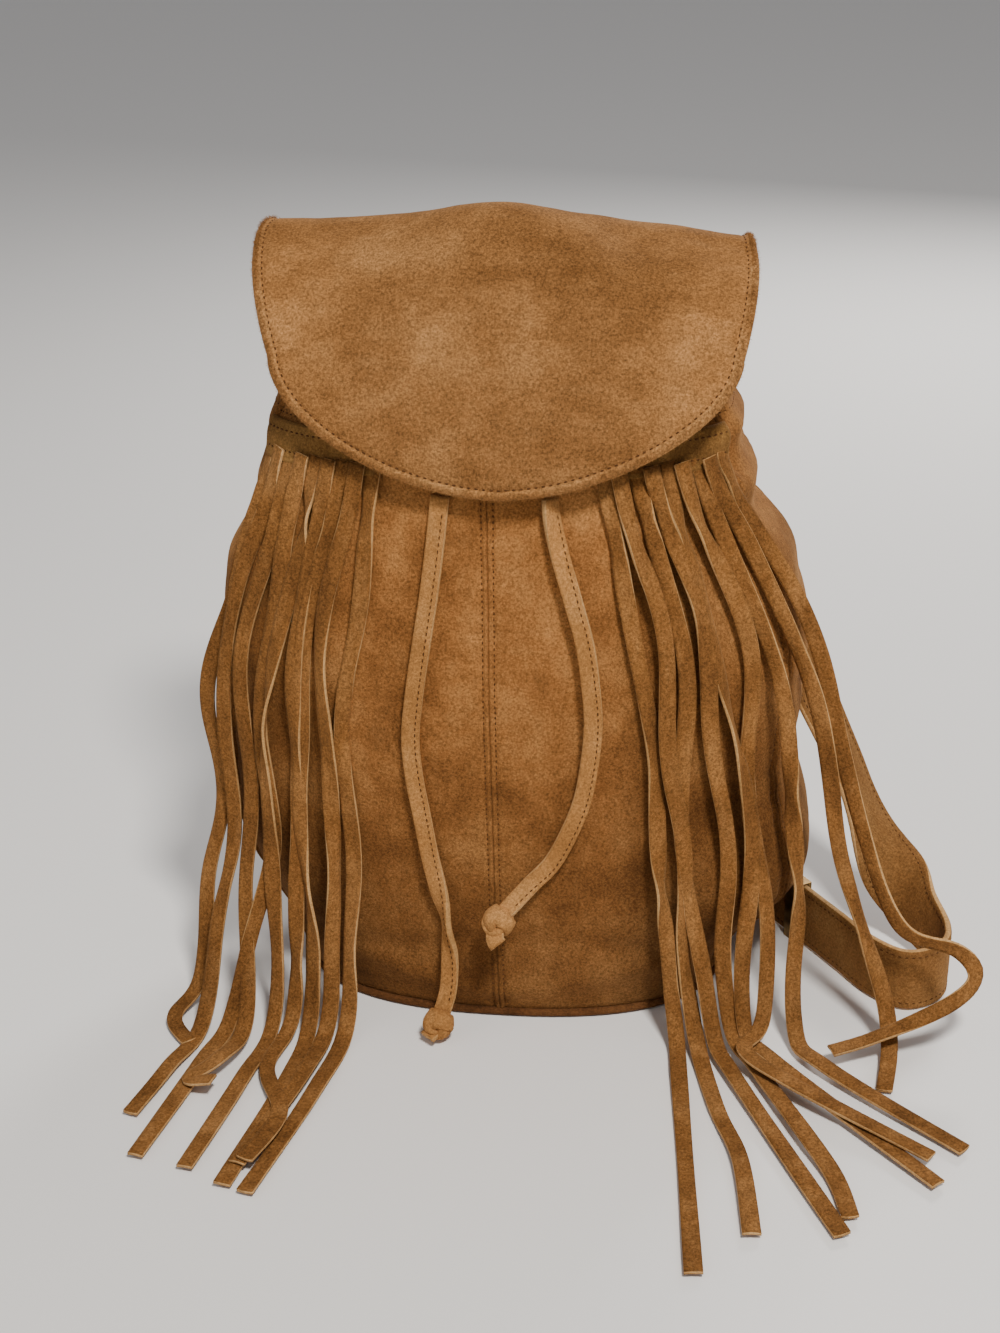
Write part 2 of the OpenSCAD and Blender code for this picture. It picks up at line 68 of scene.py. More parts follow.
# Patches sewn on the back: first and last angle in degrees, lowest and highest point
YOKE = (56, 124, 322, 358)
TAB_LEFT, TAB_RIGHT = (129, 140, 4, 38), (40, 51, 4, 38)
FLAP_SEAM = (40, 140, 358, 370.6)
BAND_TOP, BAND_H, BAND_MID_Z = 316.0, 18.0, 307.0
BAND_STITCH_Z = (302.5, 311.5)
BAND_INNER_X = 51.0
STRAND_W, STRAND_T = 8.2, 1.5
STRAND_ROOT_Z = 298.0
# Heights and lifts of the points where a strand leaves its band
STRAND_HEAD = ((304.0, 0.8), (STRAND_ROOT_Z, 1.5), (290.0, 2.6), (277.0, 3.6))
STRING_W, STRING_T = 9.0, 3.4
RUN_W, RUN_T, RUN_INSET = 7.4, 2.6, 6.2
STRAP_W, STRAP_T = 36.0, 3.6
STRAP_STITCH_X = 14.2
HANDLE_W, HANDLE_T, HANDLE_STITCH_X = 12, 3.2, 3.8
WELT_R, WELT_Z = 2.1, 2.6
FLAP_T_OUT, RIM_W, RIM_STITCH = 1.8, 4.6, 5.0
NAP_COUNT, NAP_REACH = 9000, 2.1
FLAP_RUN = [[50, 370], [50, 380], [45, 392], [33, 401], [12, 402], [-18, 386], [-45, 358],
            [-62, 330], [-72, 306], [-75, 292]]
FLAP_HALF_W, FLAP_BACK_W, FLAP_STRAIGHT, FLAP_DROOP = 122.0, 113.0, 138.0, 7.0
FLAP_TAPER, FLAP_SHIFT, FLAP_SHOULDER = 10.0, 6.0, 70
EYELET_Z = 330.0

# ---- routes, as in the CAD
TAIL_LEFT = [[-22, -67, 291], [-23, -68.8, 281], [-25, -72, 264], [-28, -76, 242],
             [-32, -79.5, 218], [-36, -81, 194], [-39, -81, 170], [-38, -81, 148], [-35, -81, 126],
             [-32, -81, 104], [-28, -81, 82], [-25, -80, 62], [-24, -80, 42], [-25, -83, 24],
             [-28, -88, 13]]
KNOT_LEFT = [-29, -94, 10]
TAIL_RIGHT = [[30, -67, 291], [31, -68.8, 281], [35, -72, 264], [41, -76, 244], [47, -79, 222],
              [50, -81, 200], [51, -81, 180], [49, -81, 158], [45, -81, 137], [38, -81, 118],
              [30, -81, 102], [20, -81, 90], [11, -84, 80], [6, -87, 75]]
KNOT_RIGHT = [3, -89, 71]
# A row is a point on the strap and the direction of its width
STRAP_RIGHT = [
    [48, 57, 354, 1, 0, 0.4], [58, 61.2, 330, 1, 0, 0.5], [80, 72, 286, 1, 0.1, 0.7],
    [109, 80, 236, 1, 0.7, 0.8], [138, 80, 184, 0.6, 1, 0.6], [160, 71, 134, 0.3, 1, 0.5],
    [182, 58, 90, 0.1, 1, 0.5], [199, 41, 54, 0.1, 1, 0.7], [219, 16, 28, 0, 0.4, 1],
    [234, -12, 19, 0, 0, 1], [230, -34, 19, 0, 0, 1], [212, -44, 19, 0, 0, 1], [194, -32, 19, 0, 0, 1],
    [179, -11, 19, 0, 0, 1], [164, 10, 19, 0, 0, 1], [149, 31, 19, 0, 0, 1], [136, 49, 19, 0, 0, 1],
    [124, 63, 19, 0, 0, 1], [104, 62.5, 20, 0, 0.35, 1]]
STRAP_LEFT = [
    [-48, 57, 354, -1, 0, 0.4], [-54, 61.2, 330, -1, 0, 0.3], [-62, 70, 286, -1, 0, 0.3],
    [-68, 78, 240, -1, 0, 0.2], [-72, 81, 190, -1, 0, 0.2], [-73, 84, 145, -1, 0.1, 0.2],
    [-70, 92, 100, -1, 0.3, 0.4], [-62, 104, 60, -0.7, 0.4, 0.8], [-48, 122, 30, -0.3, 0.2, 1],
    [-32, 142, 19, 0, 0, 1], [-22, 162, 19, 0, 0, 1], [-28, 182, 19, 0, 0, 1], [-46, 186, 19, 0, 0, 1],
    [-60, 170, 19, 0, 0, 1], [-70, 149, 19, 0, 0, 1], [-80, 128, 19, 0, 0, 1], [-90, 107, 19, 0, 0, 1],
    [-97, 84, 19, 0, 0, 1], [-104, 64, 20, 0, 0.35, 1]]
HANDLE = [[-18, 56, 352], [-18, 60, 344], [-17, 61, 334], [-10, 62, 325], [0, 62, 322],
          [10, 62, 325], [17, 61, 334], [18, 60, 344], [18, 56, 352]]
STRANDS_RIGHT = [
    [[71, -75, 200], [82, -76, 95], [93, -86, 14], [97, -120, 3], [109, -255, 3]],
    [[82, -73, 200], [91, -74, 95], [103, -88, 12], [116, -140, 3], [128, -178, 4], [134, -228, 3]],
    [[92, -71, 200], [101, -72, 95], [112, -88, 14], [124, -116, 5], [174, -224, 3]],
    [[101, -69, 200], [112, -70, 95], [121, -84, 14], [134, -108, 6], [158, -158, 6], [172, -186, 3],
     [178, -212, 3]],
    [[114, -64, 200], [125, -68, 95], [128, -84, 16], [142, -102, 7], [219, -186, 3]],
    [[124, -60, 200], [137, -64, 95], [138, -84, 18], [128, -102, 12], [150, -124, 10], [217, -169, 5]],
    [[134, -55, 200], [150, -60, 95], [154, -80, 12], [168, -104, 6], [233, -160, 3]],
    [[146, -46, 200], [171, -54, 95], [196, -68, 34], [202, -84, 8], [198, -118, 3]],
    [[154, -36, 200], [178, -46, 116], [204, -60, 62], [234, -64, 52], [244, -72, 42], [230, -84, 32],
     [194, -90, 14], [172, -98, 10]]]
STRANDS_LEFT = [
    [[-75, -74, 195], [-78, -76, 90], [-77, -92, 10], [-84, -146, 3], [-100, -223, 3]],
    [[-83, -72, 195], [-87, -74, 90], [-87, -90, 12], [-92, -136, 5], [-108, -206, 5]],
    [[-92, -70, 195], [-96, -72, 90], [-97, -92, 10], [-100, -140, 3], [-112, -219, 3]],
    [[-101, -68, 195], [-105, -70, 90], [-106, -92, 12], [-112, -130, 4], [-96, -168, 6],
     [-104, -206, 8]],
    [[-111, -66, 195], [-115, -68, 90], [-116, -94, 10], [-122, -140, 4], [-133, -209, 3]],
    [[-120, -61, 195], [-124, -64, 90], [-138, -96, 12], [-146, -128, 4], [-159, -203, 3]],
    [[-131, -56, 195], [-135, -60, 90], [-130, -98, 12], [-136, -134, 10], [-150, -146, 5],
     [-134, -151, 10]],
    [[-144, -48, 195], [-148, -54, 90], [-153, -96, 10], [-162, -134, 4], [-171, -172, 3]],
    [[-154, -38, 195], [-158, -46, 90], [-162, -68, 16], [-172, -92, 4], [-158, -112, 3]]]


# ---- camera, light and floor
def set_camera():
    """A portrait view from the front, a little to the right and above."""
    azimuth, elevation, roll = math.radians(8), math.radians(25), math.radians(-1.5)
    target, distance = Vector((-0.005, 0, 0.172)), 1.0
    sensor, focal_pixels, image_height = 24, 1900, 1333
    away = Vector((math.sin(azimuth) * math.cos(elevation), -math.cos(azimuth) * math.cos(elevation),
                   math.sin(elevation)))
    data = bpy.data.cameras.new("camera")
    data.sensor_fit, data.sensor_height, data.sensor_width = "VERTICAL", sensor, sensor * 3 / 4
    data.lens = sensor * focal_pixels / image_height
    camera = bpy.data.objects.new("camera", data)
    turn = away.to_track_quat("Z", "Y").to_matrix() @ Matrix.Rotation(roll, 3, "Z")
    camera.matrix_world = Matrix.Translation(target + away * distance) @ turn.to_4x4()
    bpy.context.collection.objects.link(camera)
    bpy.context.scene.camera = camera


def area_light(name, place, look_at, size, power, colour):
    data = bpy.data.lights.new(name, "AREA")
    data.shape, data.size, data.energy, data.color = "DISK", size, power, colour
    light = bpy.data.objects.new(name, data)
    light.location = place
    light.rotation_euler = (Vector(look_at) - Vector(place)).to_track_quat("-Z", "Y").to_euler()
    bpy.context.collection.objects.link(light)


def set_stage():
    mesh = bpy.data.meshes.new("floor")
    half = 60.0
    corners = [(-half, -half, 0), (half, -half, 0), (half, half, 0), (-half, half, 0)]
    mesh.from_pydata(corners, [], [(0, 1, 2, 3)])
    floor = bpy.data.objects.new("floor", mesh)
    bpy.context.collection.objects.link(floor)
    material = bpy.data.materials.new("floor")
    material.use_nodes = True
    shader = material.node_tree.nodes["Principled BSDF"]
    shader.inputs["Base Color"].default_value = (0.86, 0.83, 0.80, 1)
    shader.inputs["Roughness"].default_value = 0.9
    mesh.materials.append(material)
    world = bpy.data.worlds.new("world")
    world.use_nodes = True
    world.node_tree.nodes["Background"].inputs["Color"].default_value = (0.96, 0.97, 1.0, 1)
    world.node_tree.nodes["Background"].inputs["Strength"].default_value = 0.32
    bpy.context.scene.world = world
    area_light("key", (0.5, -1.0, 1.7), (0, 0, 0.2), 0.3, 39, (1.0, 0.98, 0.94))
    area_light("fill", (-1.3, -1.1, 0.9), (0, 0, 0.2), 1.2, 2.5, (1.0, 0.98, 0.95))
    area_light("rim", (0.55, 1.6, 1.0), (0, 0, 0.2), 0.5, 20, (1, 0.99, 0.97))


set_camera()
set_stage()


# ---- materials
class Nodes:
    """Short way to add nodes to a material."""

    def __init__(self, name):
        self.material = bpy.data.materials.new(name)
        self.material.use_nodes = True
        self.tree = self.material.node_tree
        self.shader = self.tree.nodes["Principled BSDF"]

    def add(self, kind, **values):
        node = self.tree.nodes.new(kind)
        for key, value in values.items():
            if key in node.inputs:
                node.inputs[key].default_value = value
            else:
                setattr(node, key, value)
        return node

    def link(self, out, into):
        self.tree.links.new(out, into)

    def noise(self, scale, detail=2.0, rough=0.5, stretch=None):
        """Noise in the object's own space, stretched along an axis if asked."""
        place = self.add("ShaderNodeTexCoord").outputs["Object"]
        if stretch:
            mapping = self.add("ShaderNodeMapping")
            mapping.inputs["Scale"].default_value = stretch
            self.link(place, mapping.inputs["Vector"])
            place = mapping.outputs["Vector"]
        node = self.add("ShaderNodeTexNoise", Scale=scale, Detail=detail, Roughness=rough)
        self.link(place, node.inputs["Vector"])
        return node.outputs["Fac"]

    def ramp(self, fac, stops):
        node = self.add("ShaderNodeValToRGB")
        for i, (position, colour) in enumerate(stops):
            element = node.color_ramp.elements[i] if i < 2 else node.color_ramp.elements.new(position)
            element.position = position
            element.color = (*colour, 1)
        self.link(fac, node.inputs["Fac"])
        return node.outputs["Color"]

    def mix(self, fac, a, b, blend="MIX"):
        node = self.add("ShaderNodeMix", data_type="RGBA", blend_type=blend)
        for value, socket in ((fac, node.inputs[0]), (a, node.inputs[6]), (b, node.inputs[7])):
            if isinstance(value, bpy.types.NodeSocket):
                self.link(value, socket)
            elif isinstance(value, tuple):
                socket.default_value = (*value, 1)
            else:
                socket.default_value = value
        return node.outputs[2]

    def grey(self, value):
        node = self.add("ShaderNodeCombineColor")
        for socket in node.inputs[:3]:
            self.link(value, socket)
        return node.outputs["Color"]

    def bump(self, height, strength, distance, normal=None):
        node = self.add("ShaderNodeBump", Strength=strength, Distance=distance)
        self.link(height, node.inputs["Height"])
        if normal:
            self.link(normal, node.inputs["Normal"])
        return node.outputs["Normal"]

    def surface(self, colour, normal=None, **inputs):
        """Give the shader its colour and normal, and set its other inputs, named with _ for each space."""
        self.link(colour, self.shader.inputs["Base Color"])
        if normal:
            self.link(normal, self.shader.inputs["Normal"])
        for key, value in inputs.items():
            self.shader.inputs[key.replace("_", " ")].default_value = value
        return self.material


def srgb(r, g, b):
    """Linear colour from 0-255 values."""
    return tuple(((c / 255 + 0.055) / 1.055) ** 2.4 if c > 10 else c / 3294.6 for c in (r, g, b))


def suede(name, main, dark, light, blotch=0.55, streak=(1, 1, 0.5), grain=1.0, painted_lighting=()):
    """Napped suede: large worn blotches, brushed patches, clumped nap and fine fibres.
    The ramps given last are (axis, from, to, low, high), in metres, and each paints light or shade: the
    colour is scaled from low to high on the way."""
    n = Nodes(name)
    main, dark, light = srgb(*main), srgb(*dark), srgb(*light)
    large = n.ramp(n.noise(19, 5, 0.62), [(0.36, dark), (0.5, main), (0.66, light)])
    brushed = n.ramp(n.noise(68, 5, 0.7, streak), [(0.3, dark), (0.52, main), (0.74, light)])
    colour = n.mix(blotch, brushed, large)
    greys = [(0.34, (0.5 - 0.2 * grain,) * 3), (0.66, (0.5 + 0.2 * grain,) * 3)]
    clumps = n.noise(800, 3, 0.6)
    fibres = n.noise(2300, 2, 0.6)
    colour = n.mix(0.75, colour, n.ramp(clumps, greys), "OVERLAY")
    colour = n.mix(0.6, colour, n.ramp(fibres, greys), "OVERLAY")
    place = n.add("ShaderNodeTexCoord").outputs["Object"]
    parts = n.add("ShaderNodeSeparateXYZ")
    n.link(place, parts.inputs[0])
    # Painted light and shade: each ramp multiplies the colour along one axis
    for axis, start, end, first, last in painted_lighting:
        scale = n.add("ShaderNodeMapRange", interpolation_type="SMOOTHSTEP")
        for key, value in zip(("From Min", "From Max", "To Min", "To Max"), (start, end, first, last)):
            scale.inputs[key].default_value = value
        n.link(parts.outputs[axis], scale.inputs["Value"])
        colour = n.mix(1.0, colour, n.grey(scale.outputs["Result"]), "MULTIPLY")
    nap = n.bump(fibres, 0.6, 0.0003, n.bump(clumps, 0.5, 0.0005))
    return n.surface(colour, nap, Roughness=0.95, Specular_IOR_Level=0.1, Sheen_Weight=0.22,
                     Sheen_Roughness=0.4, Sheen_Tint=(*srgb(226, 172, 112), 1))


def thread_material():
    n = Nodes("thread")
    colour = n.ramp(n.noise(900, 2), [(0.35, srgb(70, 42, 20)), (0.7, srgb(104, 66, 34))])
    wave = n.add("ShaderNodeTexWave", Scale=1500.0, bands_direction="DIAGONAL")
    return n.surface(colour, n.bump(wave.outputs["Fac"], 0.5, 0.0002), Roughness=0.85,
                     Specular_IOR_Level=0.15)


def lining_material():
    """Plain-weave cotton."""
    n = Nodes("lining_cloth")
    place = n.add("ShaderNodeTexCoord").outputs["Object"]
    waves = []
    for direction in ("X", "Z"):
        wave = n.add("ShaderNodeTexWave", Scale=420.0, Distortion=0.6, bands_direction=direction)
        n.link(place, wave.inputs["Vector"])
        waves.append(wave.outputs["Fac"])
    weave = n.add("ShaderNodeMath", operation="MULTIPLY")
    n.link(waves[0], weave.inputs[0])
    n.link(waves[1], weave.inputs[1])
    base = n.ramp(n.noise(30, 3), [(0.35, srgb(142, 116, 84)), (0.65, srgb(166, 138, 102))])
    threads = n.ramp(weave.outputs[0], [(0.0, srgb(96, 76, 52)), (0.8, srgb(182, 154, 116))])
    return n.surface(n.mix(0.35, base, threads), n.bump(weave.outputs[0], 0.5, 0.0003), Roughness=0.85)


def brass_material():
    n = Nodes("brass")
    colour = n.ramp(n.noise(160, 4), [(0.3, srgb(96, 72, 42)), (0.7, srgb(156, 124, 76))])
    scratches = n.noise(300, 4, 0.6, (1, 8, 1))
    n.link(n.ramp(scratches, [(0.3, (0.28,) * 3), (0.7, (0.48,) * 3)]), n.shader.inputs["Roughness"])
    return n.surface(colour, n.bump(scratches, 0.15, 0.0002), Metallic=1.0)


def board_material():
    n = Nodes("board")
    colour = n.ramp(n.noise(500, 3), [(0.3, srgb(44, 42, 40)), (0.7, srgb(66, 62, 58))])
    return n.surface(colour, Roughness=0.8)


# Body colour: the darkening towards the bottom is painted shade, and the darkening at both sides, behind the
# fringes and on the side panels, is painted shadow
BODY = suede("suede_body", (144, 95, 50), (106, 66, 31), (178, 126, 74), 0.62, grain=1.2,
             painted_lighting=(("Z", 0.0, 0.23, 0.53, 1.0), ("X", 0.052, 0.075, 1.0, 0.76),
                    ("X", -0.092, -0.066, 0.8, 1.0)))
# Flap colour: the brightening towards its left and right edges is a painted highlight of the sheen there
FLAP = suede("suede_flap", (132, 90, 50), (104, 68, 34), (160, 115, 70), 0.6, (0.6, 1, 1), 1.3,
             painted_lighting=(("X", -0.115, -0.045, 1.25, 0.95), ("X", 0.045, 0.115, 1.0, 1.24)))
RIM = suede("suede_rim", (148, 103, 59), (118, 79, 42), (174, 130, 82), 0.5, grain=1.3)
# Band colour: darker than the body's, partly its own leather and partly painted shade from the flap above it
BAND = suede("suede_band", (124, 88, 46), (100, 69, 35), (144, 107, 60), 0.5)
# Fringe colour: the darkening at the top of the strands, under the flap, is painted shade, and the darkening
# near the ground is painted shadow between the strands
FRINGE = suede("suede_fringe", (128, 85, 43), (90, 57, 27), (166, 118, 69), 0.45,
               (1, 1, 0.3), 1.2, painted_lighting=(("Z", 0.262, 0.296, 1.0, 0.88), ("Z", 0.015, 0.10, 0.86, 1.0)))
STRING = suede("suede_string", (166, 116, 65), (140, 95, 50), (186, 138, 86), 0.5, grain=0.9)
STRAP = suede("suede_strap", (128, 88, 48), (102, 68, 35), (148, 108, 64), 0.5)
DARK = suede("suede_dark", (92, 58, 32), (60, 36, 18), (120, 80, 46), 0.5)
CUT = suede("suede_cut_edge", (186, 143, 92), (156, 113, 66), (206, 166, 116), 0.5, grain=0.7)
THREAD = thread_material()
LINING = lining_material()
BRASS = brass_material()
BOARD = board_material()


# ---- mesh helpers
def new_object(name, points, faces, materials, indices=None, smooth=True):
    """A piece from points in millimetres."""
    mesh = bpy.data.meshes.new(name)
    mesh.from_pydata((np.asarray(points, float) * MM).tolist(), [], faces)
    for material in materials:
        mesh.materials.append(material)
    if indices is not None:
        mesh.polygons.foreach_set("material_index", indices)
    if smooth:
        mesh.polygons.foreach_set("use_smooth", [True] * len(mesh.polygons))
    mesh.validate()
    mesh.update()
    piece = bpy.data.objects.new(name, mesh)
    bpy.context.collection.objects.link(piece)
    return piece


def closed_slab(outer, inner):
    """Points, faces and material slots (0 on the faces, 1 on the rim) of a slab between two grids."""
    rows, cols = outer.shape[:2]
    n = rows * cols
    points = np.concatenate([outer.reshape(-1, 3), inner.reshape(-1, 3)])
    faces = []
    for i in range(rows - 1):
        for j in range(cols - 1):
            a, b, c, d = i * cols + j, i * cols + j + 1, (i + 1) * cols + j + 1, (i + 1) * cols + j
            faces.append((a, b, c, d))
            faces.append((n + a, n + d, n + c, n + b))
    flat = len(faces)
    for j in range(cols - 1):
        last = (rows - 1) * cols
        faces.append((j + 1, j, n + j, n + j + 1))
        faces.append((last + j, last + j + 1, n + last + j + 1, n + last + j))
    for i in range(rows - 1):
        a, b = i * cols, (i + 1) * cols
        faces.append((a, b, n + b, n + a))
        faces.append((b + cols - 1, a + cols - 1, n + a + cols - 1, n + b + cols - 1))
    return points, faces, [0] * flat + [1] * (len(faces) - flat)


def catmull(points, per):
    """Smooth curve through points, with per steps between neighbours."""
    p = np.asarray(points, float)
    out = []
    for i in range(len(p) - 1):
        a, b, c, d = p[max(i - 1, 0)], p[i], p[i + 1], p[min(i + 2, len(p) - 1)]
        for k in range(per):
            t = k / per
            out.append(0.5 * (2 * b + (c - a) * t + (2 * a - 5 * b + 4 * c - d) * t * t
                              + (3 * b - a - 3 * c + d) * t ** 3))
    out.append(p[-1])
    return np.array(out)


def lengths(curve):
    return np.concatenate([[0], np.cumsum(np.linalg.norm(np.diff(curve, axis=0), axis=1))])


def at(t, s, values):
    """Rows of values at distances t, where s are the distances of the rows."""
    return np.stack([np.interp(t, s, column) for column in np.asarray(values, float).T], axis=-1)


def respaced(curve, step, *extra):
    """The curve again with even steps, and any other rows of values along it."""
    s = lengths(curve)
    count = max(4, int(round(s[-1] / step)) + 1)
    t = np.linspace(0, s[-1], count)
    rows = [at(t, s, values) for values in (curve, *extra)]
    return rows if extra else rows[0]


def unit(v):
    return v / np.maximum(np.linalg.norm(v, axis=-1, keepdims=True), 1e-9)


def headings(curve):
    return unit(np.gradient(curve, axis=0))


def smoothstep(x, a, b):
    t = np.clip((x - a) / (b - a), 0, 1)
    return t * t * (3 - 2 * t)


def hump(x, centre, width):
    """A smooth hump, 1 high at its centre."""
    return np.exp(-((x - centre) / width) ** 2)


def ripple(p, size, seed=0.0):
    """Smooth noise from -1 to 1 at each point, with lumps about size millimetres across."""
    flat = np.asarray(p, float).reshape(-1, 3) / size + seed
    values = np.array([noise.noise(Vector(q)) for q in flat])
    return values.reshape(np.asarray(p).shape[:-1])


def frames(curve, across):
    """Headings, width directions and face normals along a strip."""
    t = headings(curve)
    s = unit(across - np.sum(across * t, axis=1, keepdims=True) * t)
    return t, s, np.cross(t, s)


def section(middle, *half):
    """A strip's face from edge to edge, as (place across, height), mirrored about its middle."""
    return [(-a, h) for a, h in half] + [(0, middle)] + [(a, h) for a, h in reversed(half)]


NARROW = section(1, (1, 0.3), (1, 1), (0.6, 1))
WIDE = section(1.05, (1, 0.2), (0.985, 0.75), (0.94, 1.0), (0.86, 1.03), (0.79, 0.9), (0.7, 1.0),
               (0.35, 1.05))
STRING_FACE = section(0.9, (1, 0.35), (0.97, 0.85), (0.8, 1.05), (0.5, 0.95))
LAP_FACE = section(1.2, (1, 0.25), (0.93, 0.7), (0.5, 1.05))
TAB_FACE = section(1.0, (1, 0.4), (0.93, 0.9), (0.5, 1.05))
WRAP_FACE = section(1.15, (1, 0.3), (0.9, 0.9), (0.5, 1.1))


def strip(name, curve, across, width, thick, faces_of, edge_of, face=NARROW, cup=0.0, floor=-99.0):
    """A flat strip along curve. The two cut edges and the ends get their own material."""
    _, s, m = frames(curve, across)
    width = np.broadcast_to(np.asarray(width, float), (len(curve),))[:, None]
    cup = np.broadcast_to(np.asarray(cup, float), (len(curve),))[:, None]
    ring = face + [(-a, -h) for a, h in face]
    rings = np.stack([curve + s * (a * width / 2) + m * (h * thick / 2 + cup * (1 - a * a)) for a, h in ring],
                     axis=1)
    rings[..., 2] = np.maximum(rings[..., 2], floor)
    count, k = rings.shape[:2]
    half = len(face)
    edges = {0, half - 2, half - 1, half, k - 2, k - 1}
    faces, indices = [], []
    for i in range(count - 1):
        for j in range(k):
            q = (j + 1) % k
            faces.append((i * k + j, (i + 1) * k + j, (i + 1) * k + q, i * k + q))
            indices.append(1 if j in edges else 0)
    faces.append(tuple(range(k)))
    faces.append(tuple(reversed(range((count - 1) * k, count * k))))
    return new_object(name, rings.reshape(-1, 3), faces, [faces_of, edge_of], indices + [1, 1])


def stitches(name, rows, pitch, radius):
    """Thread stitches along rows of (points, outward normals), made as one piece."""
    points, faces = [], []
    around, along = 6, 5
    length, sink = pitch * 0.68, 0.1
    for curve, normal in rows:
        curve, normal = respaced(np.asarray(curve), 1.0, np.asarray(normal))
        s = lengths(curve)
        for start in np.arange(pitch * 0.5, s[-1] - pitch * 0.6, pitch):
            ends = at([start, start + length], s, curve)
            up = unit(at(start, s, normal))
            t = unit(ends[1] - ends[0])
            side = np.cross(t, up)
            base = len(points)
            for i in range(along):
                f = i / (along - 1)
                bow = math.sin(math.pi * f)
                r = radius * (0.35 + 0.65 * bow ** 0.5)
                centre = ends[0] * (1 - f) + ends[1] * f + up * (radius * 0.7 * bow - sink - radius * 0.5)
                for k in range(around):
                    angle = 2 * math.pi * k / around
                    points.append(centre + side * (r * math.cos(angle)) + up * (r * math.sin(angle)))
            for i in range(along - 1):
                for k in range(around):
                    q = (k + 1) % around
                    faces.append((base + i * around + k, base + i * around + q,
                                  base + (i + 1) * around + q, base + (i + 1) * around + k))
            faces.append(tuple(base + k for k in reversed(range(around))))
            faces.append(tuple(base + (along - 1) * around + k for k in range(around)))
    return new_object(name, points, faces, [THREAD])


def nap_fibres(name, roots, towards, reach):
    """Fine loose fibres of the nap, as thin blades standing from their roots."""
    points, faces = [], []
    for root, way in zip(roots, towards):
        stray = np.array([rng.uniform(-1, 1) for _ in range(3)])
        way = unit(way + 0.55 * stray)
        side = unit(np.cross(way, stray + [0.01, 0.02, 0.03])) * 0.055
        tip = root + way * reach * rng.uniform(0.35, 1.0)
        middle = (root + tip) / 2 + np.array([rng.uniform(-0.2, 0.2) for _ in range(3)])
        base = len(points)
        foot = root - way * 0.4
        points += [foot - side, foot + side, middle + side * 0.8, middle - side * 0.8, tip]
        faces += [(base, base + 1, base + 2, base + 3), (base + 3, base + 2, base + 4)]
    return new_object(name, points, faces, [RIM], smooth=False)


# ---- the body's surface
def level(z, column):
    """Smooth value of a column of LEVELS at heights z."""
    z = np.asarray(z, float)
    heights, values = LEVELS[:, 0], LEVELS[:, column]
    slopes = np.empty(len(heights))
    slopes[0] = (values[1] - values[0]) / (heights[1] - heights[0])
    slopes[-1] = (values[-1] - values[-2]) / (heights[-1] - heights[-2])
    slopes[1:-1] = (values[2:] - values[:-2]) / (heights[2:] - heights[:-2])
    i = np.clip(np.searchsorted(heights, z, side="right") - 1, 0, len(heights) - 2)
    h = heights[i + 1] - heights[i]
    t = (z - heights[i]) / h
    return (values[i] * (1 + 2 * t) * (1 - t) ** 2 + slopes[i] * h * t * (1 - t) ** 2
            + values[i + 1] * t * t * (3 - 2 * t) + slopes[i + 1] * h * t * t * (t - 1))


def outline(u, z):
    """Points of the body's outline at angles u, in degrees, and heights z."""
    u, z = np.broadcast_arrays(np.radians(np.asarray(u, float)), np.asarray(z, float))
    cos, sin = np.cos(u), np.sin(u)
    power = np.where(sin < 0, FRONT_POWER, BACK_POWER)
    x = level(z, 1) * np.sign(cos) * np.abs(cos) ** (2 / power)
    y = level(z, 3) + level(z, 2) * np.sign(sin) * np.abs(sin) ** (2 / power)
    return np.stack([x, y, z], axis=-1)


def front_angle(x, z):
    """Angle on the front at which the outline has this x."""
    share = np.clip(np.abs(x) / level(z, 1), 0, 1)
    return 270 + np.sign(x) * (90 - np.degrees(np.arccos(share ** (FRONT_POWER / 2))))


def outward(u, z):
    """Outward directions of the plain outline."""
    du = outline(np.asarray(u) + 0.5, z) - outline(np.asarray(u) - 0.5, z)
    dz = outline(u, np.asarray(z) + 1.0) - outline(u, np.asarray(z) - 1.0)
    return unit(np.cross(du, dz))


# Folds in the slack side panels: how deep, at what height, and how wide
SIDE_FOLDS = ((3.0, 283, 7), (-3.5, 268, 7), (4.5, 310, 7), (-2.0, 328, 6), (2.5, 240, 12), (-2.0, 178, 12))


